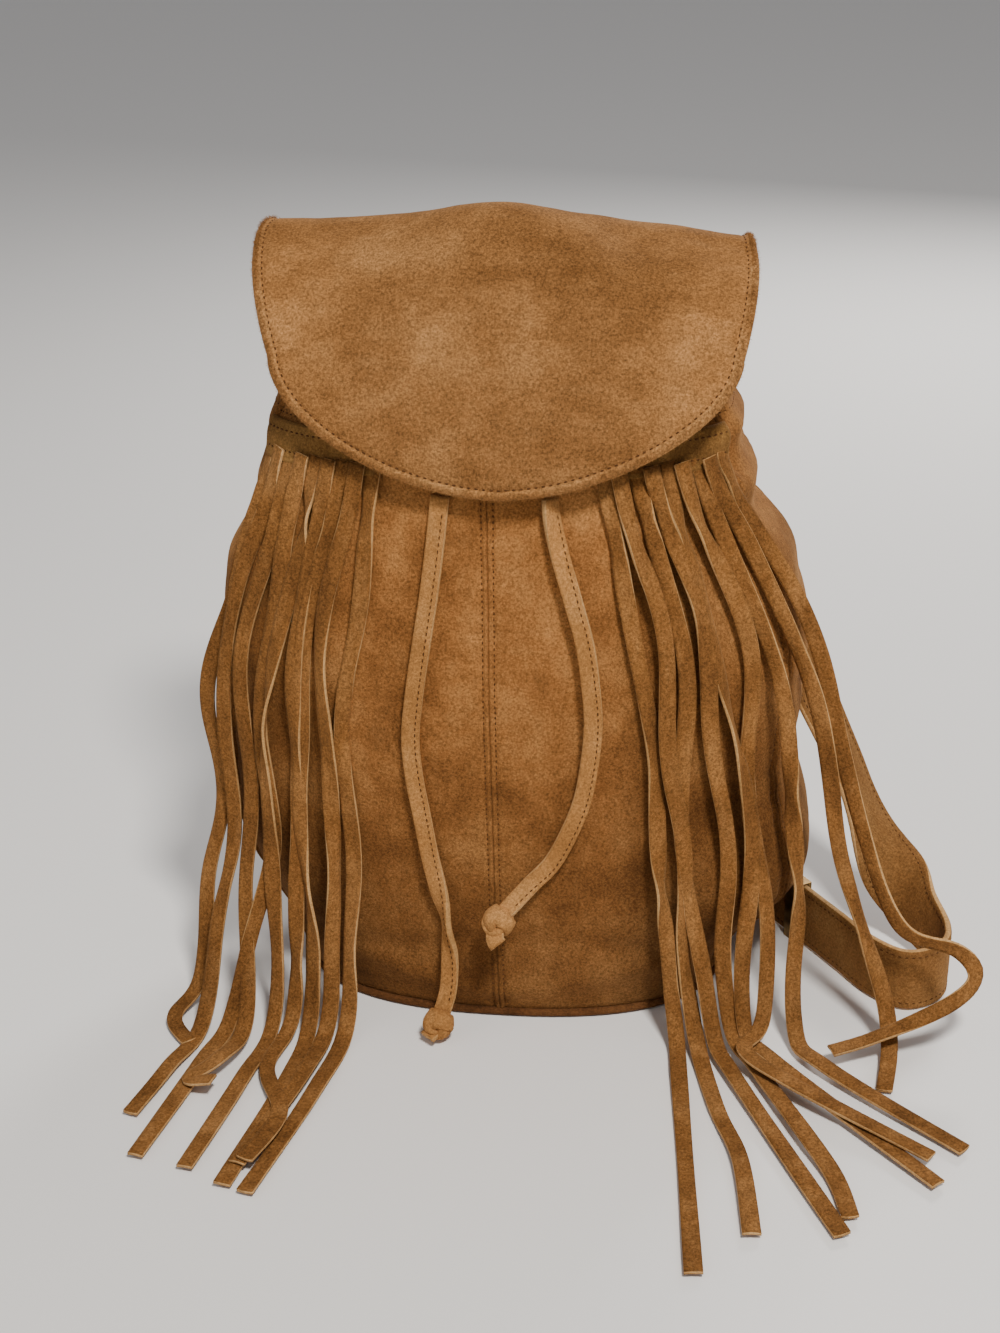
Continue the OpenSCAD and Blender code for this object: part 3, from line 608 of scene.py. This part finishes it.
def relief(u, z):
    """How far the soft leather stands out from the plain outline, in millimetres."""
    u, z = np.broadcast_arrays(np.asarray(u, float), np.asarray(z, float))
    p = outline(u, z)
    turn = np.radians(u)
    soft = 2.0 * ripple(p, 75, 3.1) + 0.9 * ripple(p, 30, 8.7) + 0.35 * ripple(p, 12, 5.5)
    side = np.cos(turn)
    # Gathers where the drawstring draws the mouth in
    gather = smoothstep(z, 312, MOUTH_Z) * (1.6 * np.sin(23 * turn + 2 * np.sin(3 * turn))
                                          + 0.8 * np.sin(41 * turn + 1.0))
    # Horizontal folds in the slack side panels, deeper on the right
    folds = sum(deep * hump(z, height, wide) for deep, height, wide in SIDE_FOLDS)
    slack = smoothstep(np.abs(side), 0.72, 0.95) * np.where(side > 0, 1.0, 0.4)
    bulge = smoothstep(side, 0.5, 0.95) * (5.0 * hump(z, 192, 42) + 24.0 * hump(z, 78, 36))
    bulge = bulge + smoothstep(-side, 0.5, 0.95) * 9.0 * hump(z, 100, 48)
    # Creases low on the front where the leather sits on the base
    front = smoothstep(-np.sin(turn), 0.3, 0.8)
    sag = front * (1.6 * hump(z - 26 - 7 * np.sin(turn * 5), 0, 8)
                   - 1.3 * hump(z - 44 - 6 * np.sin(turn * 4 + 1), 0, 6))
    tuck = -2.5 * (1 - smoothstep(z, 0, 9)) ** 2
    # The side panel lies back beside the ends of the fringe bands
    beside = hump(side, 0.965, 0.02) + 0.6 * hump(side, -0.965, 0.02)
    in_front = smoothstep(-np.sin(turn), -0.05, 0.1)
    tuck = tuck - 4.5 * beside * in_front * smoothstep(z, 284, 300) * smoothstep(-z, -352, -330)
    return soft * smoothstep(z, 0, 30) + gather + slack * folds + bulge + sag + tuck


def skin(u, z, lift=0.0):
    """Points on the soft body, lifted outwards."""
    return outline(u, z) + outward(u, z) * (relief(u, z) + np.asarray(lift))[..., None]


def sew(name, rows, body="bag", pitch=3.4, radius=0.42):
    """Rows of stitches as one piece on its body."""
    return place(stitches(name, rows, pitch, radius), body, "suede_dark")


def place(piece, body, slot, *nodes):
    """Put a finished piece on its body, in the place of the CAD nodes named."""
    if body:
        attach(piece, body)
    if nodes:
        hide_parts(*nodes)
    return piece


def spread(a, b, count, even=0.3):
    """Values from a to b, closer together near both ends."""
    t = np.linspace(0, 1, count)
    return a + (b - a) * (even * t + (1 - even) * (0.5 - 0.5 * np.cos(np.pi * t)))


def seam_profile(d):
    """Height of the leather at distance d from a seam: a groove, a ridge and a dip under the stitches."""
    return -0.5 * hump(d, 0, 0.4) + 0.8 * hump(d, 1.2, 1.0) - 0.9 * hump(d, 2.8, 0.7)


def pucker(d, z):
    """Small waves that the stitches pull into the leather near a seam."""
    return 0.5 * hump(d, 0, 9) * np.sin(z / 2.6 + 2 * np.sin(z / 17))


def panel(name, u0, u1, cols, node):
    """One leather panel of the body, its long edges turned in at the seams."""
    rows = 150
    fine = np.linspace(u0, u1, 4001)
    arc = lengths(outline(fine, 200.0))
    angles = np.interp(spread(0, arc[-1], cols), arc, fine)
    us, zs = np.meshgrid(angles, np.linspace(PANEL_FOOT, MOUTH_Z, rows))
    plain = outline(us, zs)
    steps = np.linalg.norm(np.diff(plain, axis=1), axis=2)
    along = np.concatenate([np.zeros((rows, 1)), np.cumsum(steps, axis=1)], axis=1)
    d = np.minimum(along, along[:, -1:] - along)
    outer = skin(us, zs, seam_profile(d) + pucker(d, zs))
    points, faces, slots = closed_slab(outer, outer - outward(us, zs) * LEATHER_T)
    piece = new_object(name, points, faces, [BODY, CUT], slots)
    place(piece, "bag", "suede_body", node)
    return piece


def row_by_seam(seam, side, d, z0, z1):
    """Points and normals d millimetres from the seam at this angle, on the side of larger (1) or smaller (-1)
    angles."""
    z = np.arange(z0, z1, 2.0)
    degrees = np.linspace(0, 9, 400)[:, None]
    steps = np.linalg.norm(np.diff(outline(seam + side * degrees, z[None, :]), axis=0), axis=2)
    arc = np.concatenate([np.zeros((1, len(z))), np.cumsum(steps, axis=0)])
    u = seam + side * np.array([np.interp(d, arc[:, i], degrees[:, 0]) for i in range(len(z))])
    return skin(u, z, seam_profile(d) + pucker(d, z)), outward(u, z)


# ---- the bag's panels
panel("front_left", 180 + SEAM_A, 270, 84, "front_panel_left")
panel("front_right", 270, 360 - SEAM_A, 84, "front_panel_right")
panel("side_left", 180 - SEAM_A, 180 + SEAM_A, 60, "side_panel_left")
panel("side_right", -SEAM_A, SEAM_A, 60, "side_panel_right")
panel("back", SEAM_A, 180 - SEAM_A, 96, "back_panel")
rows = [row_by_seam(270, side, 2.8, 6, 360) for side in (-1, 1)]
for seam in (SEAM_A, 180 - SEAM_A, 180 + SEAM_A, 360 - SEAM_A):
    rows += [row_by_seam(seam, side, 3.0, 6, SEAM_STITCH_TOP) for side in (1, -1)]
sew("seam_stitches", rows, "bag", 3.0, 0.6)

# Lining and the hemmed drawstring channel inside the mouth
us = np.linspace(0, 360, 145)


def inner_ring(name, profile, material, slot, node):
    """A closed skin round the inside of the body, from rows of (height, lift)."""
    outer, inner = (np.stack([skin(us, z, lift - down) for z, lift in profile]) for down in (0, LINING_T))
    points, faces, _ = closed_slab(outer, inner)
    return place(new_object(name, points, faces, [material]), "bag", slot, node)


inner_ring("lining_wall", [(z, LINING_LIFT) for z in np.linspace(5, LINING_TOP, 80)], LINING, "lining_cloth",
           "lining")
inner_ring("mouth_hem", catmull(HEM, 4), BODY, "suede_body", "channel_facing")
sew("mouth_stitches", [(skin(us, HEM_STITCH_Z), outward(us, HEM_STITCH_Z))])


def patch(name, u0, u1, z0, z1, lift, thick, node, slot="suede_body", material=BODY, edge=CUT):
    """A flat piece of leather sewn on the body, with its edges pressed down."""
    cols, rows = 60, 24
    us2, zs = np.meshgrid(np.linspace(u0, u1, cols), spread(z0, z1, rows, 0.5))
    along = np.linalg.norm(outline(us2, zs) - outline(us2[:, :1], zs), axis=2)
    d = np.minimum(np.minimum(along, along[:, -1:] - along), np.minimum(zs - z0, z1 - zs))
    outer = skin(us2, zs, lift + 0.35 * hump(d, 1.4, 1.2) - 0.5 * hump(d, 0, 0.6))
    points, faces, slots = closed_slab(outer, skin(us2, zs, lift - thick))
    return place(new_object(name, points, faces, [material, edge], slots), "bag", slot, node)


def patch_row(u0, u1, z0, z1, inset, lift):
    """Closed row of stitches round a patch."""
    low, high = min(u0, u1), max(u0, u1)
    middle = (low + high) / 2
    per = np.linalg.norm(outline(low, (z0 + z1) / 2) - outline(high, (z0 + z1) / 2)) / (high - low)
    low, high = low + inset / per, high - inset / per
    z0, z1 = z0 + inset, z1 - inset
    corners = [(low, z0), (high, z0), (high, z1), (low, z1), (low, z0)]
    us3, zs = [], []
    for (ua, za), (ub, zb) in zip(corners, corners[1:]):
        us3 += list(np.linspace(ua, ub, 40))
        zs += list(np.linspace(za, zb, 40))
    us3, zs = np.array(us3), np.array(zs)
    return skin(us3, zs, lift), outward(us3, zs)


patch("yoke", *YOKE, 1.6, 1.5, "back_yoke")
patch("tab_left", *TAB_LEFT, 2.0, 1.7, "lower_strap_tab_left")
patch("tab_right", *TAB_RIGHT, 2.0, 1.7, "lower_strap_tab_right")
patch("flap_seam", *FLAP_SEAM, 3.0, 2.6, "flap_seam_strip", "suede_flap", FLAP)
sew("patch_stitches", [patch_row(*YOKE, 3, 1.7), patch_row(*TAB_LEFT, 2.6, 2.1),
                       patch_row(*TAB_RIGHT, 2.6, 2.1)])

# Bands that the fringes hang from
rows = []
for side, name in ((-1, "left"), (1, "right")):
    inner = front_angle(side * BAND_INNER_X, BAND_MID_Z)
    seam = 360 - SEAM_A if side > 0 else 180 + SEAM_A
    patch("band_" + name, min(inner, seam), max(inner, seam), BAND_TOP - BAND_H - 1, BAND_TOP, 2.7, 2.2,
          "fringe_band_" + name, "suede_body", BAND, BAND)
    u = np.linspace(inner, seam, 80)[2:-2]
    rows += [(skin(u, z, 2.75), outward(u, z)) for z in BAND_STITCH_Z]
sew("band_stitches", rows)


# ---- the flap
FLAP_PATH = catmull([[0, y, z] for y, z in FLAP_RUN], 24)
FLAP_S = lengths(FLAP_PATH)
FLAP_LENGTH = FLAP_S[-1]
FLAP_T = headings(FLAP_PATH)


def flap_w(s):
    """Half-width of the flap at distance s from the hinge line."""
    s = np.asarray(s, float)
    nose = np.maximum(0.0016, 1 - np.clip((s - FLAP_STRAIGHT) / (FLAP_LENGTH - FLAP_STRAIGHT), 0, 1) ** 1.75)
    top = np.sin(np.radians(90 * np.clip(s, 0, FLAP_SHOULDER) / FLAP_SHOULDER))
    top = FLAP_BACK_W + (FLAP_HALF_W - FLAP_BACK_W) * top
    past = np.clip(s - FLAP_SHOULDER, 0, None) / (FLAP_STRAIGHT - FLAP_SHOULDER)
    middle = FLAP_HALF_W - FLAP_TAPER * past ** 2
    lower = np.where(s < FLAP_STRAIGHT, middle, (FLAP_HALF_W - FLAP_TAPER) * nose ** 0.571)
    return np.where(s < FLAP_SHOULDER, top, lower)


edge_s = FLAP_LENGTH * (1 - (1 - np.linspace(0, 1, 260)) ** 2)
EDGE = np.concatenate([np.stack([-flap_w(edge_s), edge_s], 1), np.stack([flap_w(edge_s), edge_s], 1)[::-1]])


def edge_distance(x, s):
    """Distance from the flap's free edge, measured on the flat leather."""
    best = np.full(np.shape(x), 1e9)
    for a, b in zip(EDGE[:-1], EDGE[1:]):
        v = b - a
        t = np.clip(((x - a[0]) * v[0] + (s - a[1]) * v[1]) / max(v @ v, 1e-9), 0, 1)
        best = np.minimum(best, np.hypot(x - a[0] - t * v[0], s - a[1] - t * v[1]))
    return best


def flap_relief(x, s):
    """Soft waves of the flap, and the way its top sits in a low hump and a dip."""
    p = np.stack([x, s, np.zeros(np.shape(x))], axis=-1)
    waves = 1.3 * ripple(p, 62, 2.3) + 0.7 * ripple(p, 26, 9.1) + 0.22 * ripple(p, 9, 4.4)
    crown = hump(s, 62, 26) * (6.2 * hump(x, -4, 30) - 4.5 * hump(x, 58, 22)
                               - 1.0 * hump(x, -70, 22) + 1.2 * hump(x, -112, 14))
    low_side = -6.5 * smoothstep(x, 40, 112) * smoothstep(s, 8, 34) * smoothstep(-s, -125, -70)
    dish = -1.6 * hump(x, 0, 70) * hump(s, 135, 34)
    return (waves + dish) * smoothstep(s, 0, 40) + crown + low_side


def flap_at(x, s, off):
    """Points on the flap at distance s from the hinge line, and its outward directions."""
    x, s, off = np.broadcast_arrays(np.asarray(x, float), np.asarray(s, float), np.asarray(off, float))
    base = at(s, FLAP_S, FLAP_PATH)
    n = np.cross(unit(at(s, FLAP_S, FLAP_T)), [1.0, 0, 0])
    lift = off + flap_relief(x, s) - FLAP_DROOP * (x / FLAP_HALF_W) ** 2 * np.minimum(1, s / 60)
    base[..., 0] += x + FLAP_SHIFT * np.clip((s - 60) / 80, 0, 1)
    return base + n * lift[..., None], n


def flap_grid(inset, cols, rows, s0=0.0):
    """Places on the flat flap, closer together near its edge."""
    across = np.linspace(-1, 1, cols)
    across = 0.35 * across + 0.65 * np.sin(np.pi / 2 * across)
    along = np.linspace(0, 1, rows)
    s = s0 + (FLAP_LENGTH - inset - s0) * (0.35 * along + 0.65 * np.sin(np.pi / 2 * along))
    w = np.maximum(flap_w(s + inset) - inset, 1.5)
    return across[None, :] * w[:, None], np.repeat(s[:, None], cols, axis=1)


def make_flap():
    x, s = flap_grid(0, 121, 130)
    d = edge_distance(x, s)
    fuzz = 0.3 * ripple(np.stack([x, s, d], axis=-1), 2.6, 1.7) * hump(d, 0, 5)
    roll = 0.4 * hump(d, 2.3, 2.0) - 0.6 * hump(d, RIM_STITCH, 1.0) - 1.2 * hump(d, 0, 0.8)
    outer, _ = flap_at(x, s, FLAP_T_OUT + roll + fuzz)
    inner, _ = flap_at(x, s, -0.3 - 1.2 * hump(d, 2.2, 1.9) + 1.0 * hump(d, 0, 0.7))
    points, faces, slots = closed_slab(outer, inner)
    on_rim = (d[:-1, :-1] + d[1:, 1:]) / 2 < RIM_W
    slots[:2 * on_rim.size:2] = on_rim.astype(int).ravel().tolist()
    flap = new_object("flap_leather", points, faces, [FLAP, RIM], slots)
    x, s = flap_grid(RIM_W, 61, 60, 2.0)
    outer, _ = flap_at(x, s, -0.35)
    inner, _ = flap_at(x, s, -1.7)
    points, faces, _ = closed_slab(outer, inner)
    lining = new_object("flap_lining_cloth", points, faces, [LINING])
    # One row of stitches inside the turned rim
    trail = respaced(np.concatenate([EDGE[12:-12], np.zeros((len(EDGE) - 24, 1))], axis=1), 1.0)
    turn = headings(trail)
    x, s = trail[:, 0] + RIM_STITCH * turn[:, 1], trail[:, 1] - RIM_STITCH * turn[:, 0]
    row, normal = flap_at(x, s, 1.25)
    thread = stitches("flap_stitches", [(row, normal)], 3.5, 0.5)
    # Loose nap standing out along the rim
    far = lengths(trail)[-1]
    where = [rng.uniform(0, far) for _ in range(NAP_COUNT)]
    inset = np.array([rng.uniform(0.2, 3.4) for _ in where])
    base_x, base_s, _ = at(where, lengths(trail), trail).T
    turn_x, turn_s, _ = at(where, lengths(trail), turn).T
    x, s = base_x + inset * turn_s, base_s - inset * turn_x
    root, normal = flap_at(x, s, 2.5 - 1.9 * hump(inset, 0, 0.9))
    away = flap_at(x - turn_s, s + turn_x, 2.5)[0] - flap_at(x, s, 2.5)[0]
    edge = hump(inset, 0, 1.6)[:, None]
    nap = nap_fibres("flap_nap", root, unit(away * (0.4 + edge) + normal * (1.1 - edge)), NAP_REACH)
    for piece, slot_name, nodes in ((flap, "suede_flap", ["flap_outer"]),
                                    (lining, "lining_cloth", ["flap_lining"]),
                                    (thread, "suede_dark", []), (nap, "suede_flap", [])):
        place(piece, None, slot_name, *nodes)
        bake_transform(piece)


make_flap()


# ---- drawstring, tails and knots
def edge_row(curve, across, offset, height, start=6.0, stop=6.0):
    """Row of stitches on a strip's face, offset across it from its middle."""
    _, s, m = frames(curve, across)
    along = lengths(curve)
    keep = (along > start) & (along < along[-1] - stop)
    return curve[keep] + s[keep] * offset + m[keep] * height, m[keep]


def make_drawstring():
    """The drawstring's hidden run through both eyelets and round the mouth's channel."""
    z = EYELET_Z + 2
    inset, middle = 1 - RUN_INSET / np.array([level(z, 1), level(z, 2)]), float(level(z, 3))
    around = [[x * inset[0], middle + (y - middle) * inset[1], z]
              for x, y, _ in outline(np.arange(254, -75, -6.0), z)]
    left = [[-22, -66.6, 293], [-24, -64, 304], [-27, -60, 316], [-28, -54, 326], [-28, -46, 331]]
    right = [[30 if x == -22 else -x, y, z2] for x, y, z2 in left]
    hand = left + around + right[::-1]
    facing = [[1, 0, 0]] * len(left) + [[0, 0, 1]] * len(around) + [[-1, 0, 0]] * len(right)
    curve, across = respaced(catmull(hand, 4), 2.0, catmull(facing, 4))
    run = strip("drawstring_run", curve, across, RUN_W, RUN_T, STRING, CUT, STRING_FACE)
    place(run, "bag", "suede_string", "drawstring")


def make_knot(name, centre, turned, free_end, entry):
    """An overhand knot in the flat string: it laps over itself in three turns, then ends in a short tab."""
    t = np.linspace(0, 2 * np.pi, 181)[:-1]
    r = 4.3 + 1.3 * np.cos(3 * t)
    loop = np.stack([r * np.cos(2 * t), -2.4 * np.sin(3 * t), r * np.sin(2 * t)], axis=1)
    loop = loop @ np.array(Matrix.Rotation(turned, 3, "Y"))
    loop = np.concatenate([loop, loop[:2]])
    curve = loop + np.array(centre)
    across = np.cross(headings(curve), unit(loop))
    lap = strip(name, curve, across, 9.2, 4.6, STRING, STRING, LAP_FACE)
    end = respaced(catmull([centre, *free_end], 10), 1.2)
    tab = strip(name + "_end", end, [[1, 0, 0.2]] * len(end), STRING_W, 3.2, STRING, CUT, TAB_FACE)
    # A band wrapped round the knot where the string enters it
    e1 = unit(np.cross(entry, [0, 1.0, 0.3]))
    e2 = np.cross(entry, e1)
    turn = np.linspace(0, 2 * np.pi, 49)[:, None]
    r = 6.0 + 0.5 * np.sin(2 * turn)
    ring = np.array(centre) - entry * 2.6 + r * (np.cos(turn) * e1 + np.sin(turn) * e2)
    lean = entry + 0.3 * np.cos(turn) * e1
    wrap = strip(name + "_wrap", ring, lean, 7.6, 2.6, STRING, STRING, WRAP_FACE)
    return lap, tab, wrap


def make_tail(side, route, knot_at, edge_on, free_end, stitched):
    """edge_on is (where, how long, how far): the stretch of the string that is turned towards its edge."""
    hand = catmull(route, 10)
    reach = lengths(hand)
    turn = 0.16 * np.sin(reach / 31)
    for where, slow, far in edge_on:
        turn = turn + far * hump(reach, where, slow)
    across = np.stack([np.cos(turn), -np.sin(turn), np.full(len(turn), 0.25)], axis=1)
    curve, across = respaced(hand, 2.2, across)
    body = "tail_" + side
    string = strip("string_" + side, curve, across, STRING_W, STRING_T, STRING, CUT, STRING_FACE)
    place(string, body, "suede_string", "drawstring_tail_" + side)
    row = edge_row(curve, across, stitched, STRING_T / 2)
    thread = sew("string_stitches_" + side, [row], body, 3.4, 0.36)
    lap, tab, wrap = make_knot("overhand_" + side, np.array(knot_at, float), 0.5 if side == "left" else -0.4,
                               free_end, headings(curve)[-1])
    place(lap, body, "suede_string", "knot_" + side)
    place(tab, body, "suede_string")
    place(wrap, body, "suede_string")


make_drawstring()
make_tail("left", TAIL_LEFT, KNOT_LEFT, [(232, 16, 1.0)], [[-32, -97.5, 7], [-34, -100, 5.5]], 2.2)
make_tail("right", TAIL_RIGHT, KNOT_RIGHT, [(0, 34, -1.0)], [[2, -94.5, 65], [4, -96.5, 62]], 2.4)


# ---- straps and handle
def make_strap(side, route):
    route = np.array(route, float)
    hand = catmull(route[:, :3], 12)
    across = catmull(unit(route[:, 3:]), 12)
    curve, across = respaced(hand, 2.5, across)
    _, _, m = frames(curve, across)
    along = lengths(curve)
    wave = 0.5 * ripple(curve, 40, 6.0 if side == "left" else 1.0) * smoothstep(curve[:, 2], 24, 60)
    wave = wave * smoothstep(along, 10, 60) * smoothstep(-along, -along[-1] + 10, -along[-1] + 60)
    curve = curve + m * wave[:, None]
    piece = strip("strap_leather_" + side, curve, across, STRAP_W, STRAP_T, STRAP, CUT, WIDE, floor=0.3)
    lines = []
    for offset in (-STRAP_STITCH_X, STRAP_STITCH_X):
        for face in (-1, 1):
            row, normal = edge_row(curve, across, offset, face * (STRAP_T / 2 - 0.15), 3, 3)
            lines.append((row, normal * face))
    thread = stitches("strap_stitches_" + side, lines, 3.6, 0.42)
    for soft, slot_name, nodes in ((piece, "suede_strap", ["shoulder_strap_" + side]),
                                   (thread, "suede_dark", [])):
        place(soft, None, slot_name, *nodes)
        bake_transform(soft)


make_strap("right", STRAP_RIGHT)
make_strap("left", STRAP_LEFT)
curve = respaced(catmull(HANDLE, 12), 1.2)
across = np.cross(headings(curve), [0, 1.0, 0])
loop = strip("handle_loop", curve, across, HANDLE_W, HANDLE_T, STRAP, CUT, WIDE)
place(loop, "handle", "suede_strap", "grab_handle")
rows = [edge_row(curve, across, offset, -1.5, 5, 5)[0] for offset in (-HANDLE_STITCH_X, HANDLE_STITCH_X)]
rows = [(row, np.tile([0, 1.0, 0], (len(row), 1))) for row in rows]
sew("handle_stitches", rows, "handle", 3.2, 0.36)


# ---- the fringes
def clear_of_bag(curve, gap):
    """Push a curve out to stand at least gap in front of the bag's front."""
    x, z = curve[:, 0], np.clip(curve[:, 2], 0, MOUTH_Z)
    widest = level(z, 1) * 0.985
    near = (np.abs(x) < widest) & (curve[:, 1] < 0)
    u = front_angle(np.clip(x, -widest, widest), z)
    limit = skin(u, z)[:, 1] - gap
    out = curve.copy()
    out[:, 1] = np.where(near, np.minimum(curve[:, 1], limit), curve[:, 1])
    return out


def make_strand(side, i, points):
    """One strand of the fringe: out of its band, down the bag's front and along the ground."""
    inner = front_angle(side * BAND_INNER_X, STRAND_ROOT_Z)
    fine = np.linspace(inner, 360 - SEAM_A if side > 0 else 180 + SEAM_A, 400)
    arc = lengths(outline(fine, STRAND_ROOT_Z))
    pitch = arc[-1] / len(STRANDS_LEFT)
    u = np.interp((i + 0.5) * pitch, arc, fine)
    head = [skin(u, z, lift).tolist() for z, lift in STRAND_HEAD]
    curve = respaced(catmull(head + points, 10), 3.0)
    along = lengths(curve)
    hanging = smoothstep(along, 14, 60) * smoothstep(curve[:, 2], 20, 90)
    # Seeded sway, so that the strands wander and lie over each other
    curve[:, 0] += rng.uniform(0.9, 2.4) * np.sin(along / rng.uniform(17, 30) + rng.uniform(0, 6)) * hanging
    calm = 0.4 if side < 0 and i > 5 else 1.0
    for start, run in ((0, 170), (90, 190)):
        wander = rng.choice((-1, 1)) * rng.uniform(2.5, 6.0)
        wander = 1.3 * abs(wander) if i > 5 else wander
        curve[:, 0] += wander * np.sin(np.pi * np.clip((along - start) / run, 0, 1)) ** 2
    curve[:, 2] = np.maximum(curve[:, 2], 1.2)
    curve = clear_of_bag(curve, 2.0 + (3.4 + side if i % 2 else 0.0) + rng.uniform(0, 1.5))
    for _ in range(3):
        curve[1:-1] = (curve[:-2] + 2 * curve[1:-1] + curve[2:]) / 4
    t = headings(curve)
    along = lengths(curve)
    z = curve[:, 2]
    widest = level(z, 1) * (0.96 - 0.36 * smoothstep(along, 10, 60))
    inside = np.clip(curve[:, 0], -widest, widest)
    hang = outward(front_angle(inside, np.clip(z, 5, 360)), np.clip(z, 5, 360))
    lie = smoothstep(-z, -50, -8)[:, None]
    face = unit(hang * (1 - lie) + np.array([0, 0, 1.0]) * lie + np.array([0, 0, 0.001]))
    s = unit(np.cross(t, face))
    m = np.cross(t, s)
    # The strand leans on its neighbour, opens a slit below the band, and turns its edge out here and there
    free = 1 - 0.85 * lie[:, 0]
    lean = rng.choice((-1, 1, 1)) * side
    twist = calm * lean * (0.24 + 0.12 * np.sin(along / 37 + i)) * smoothstep(along, 30, 60) * free
    twist = twist + lean * rng.uniform(0.5, 0.9) * hump(along, rng.uniform(22, 36), rng.uniform(11, 17))
    for where, most in ((90, 0.7), (160, 1.0), (230, 1.2), (290, 0.8)):
        where, slow = where + rng.uniform(-25, 25), rng.uniform(16, 30)
        turn = calm * rng.choice((-1, 1)) * rng.uniform(0.2, most)
        twist = twist + turn * hump(along, where, slow) * free
    if side > 0 and i == len(STRANDS_RIGHT) - 1:
        twist = twist * 0.4 + 1.25 * hump(along, 235, 55)
    twist = twist * smoothstep(along, 2, 14)
    across = s * np.cos(twist)[:, None] + m * np.sin(twist)[:, None]
    full = STRAND_W * (1 + 0.05 * np.sin(along / 23 + i))
    width = full + (pitch + 0.1 - full) * (1 - smoothstep(along, 12, 60))
    cup = 0.7 * np.sin(along / 29 + 2 * i) * smoothstep(along, 20, 60)
    name = "strand_%s_%d" % ("right" if side > 0 else "left", i + 1)
    return strip(name, curve, across, width, STRAND_T, FRINGE, CUT, cup=cup, floor=0.25)


def make_fringe(side, routes):
    name = "right" if side > 0 else "left"
    for i, points in enumerate(routes):
        piece = make_strand(side, i, points)
        place(piece, None, "suede_fringe", "fringe_strands_" + name)
        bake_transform(piece)


make_fringe(1, STRANDS_RIGHT)
make_fringe(-1, STRANDS_LEFT)

# ---- base welt and the CAD's own pieces
u = np.linspace(0, 360, 241)[:-1]
spine = outline(u, WELT_Z) + outward(u, WELT_Z) * 0.4
turns = np.linspace(0, 2 * np.pi, 11)[:-1]
side_way = unit(outward(u, 30.0) * [1, 1, 0])
rings = [spine + side_way * WELT_R * math.cos(a) + np.array([0, 0, WELT_R * math.sin(a)]) for a in turns]
rings = np.stack(rings, axis=1).reshape(-1, 3)
k, n = len(turns), len(u)
faces = [(i * k + j, i * k + (j + 1) % k, (i + 1) % n * k + (j + 1) % k, (i + 1) % n * k + j)
         for i in range(n) for j in range(k)]
place(new_object("welt_piping", rings, faces, [DARK]), "bag", "suede_dark", "base_welt")

# The CAD's own pieces that still show, each with its material
METAL = ("eyelet_left", "eyelet_right", "snap_socket", "snap_stud", "strap_slider_left", "strap_slider_right")
for node, material in (("base_panel", BODY), ("base_stiffener", BOARD), ("lining_base", LINING),
                       *((metal, BRASS) for metal in METAL)):
    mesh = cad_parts[node].data
    mesh.materials.clear()
    mesh.materials.append(material)
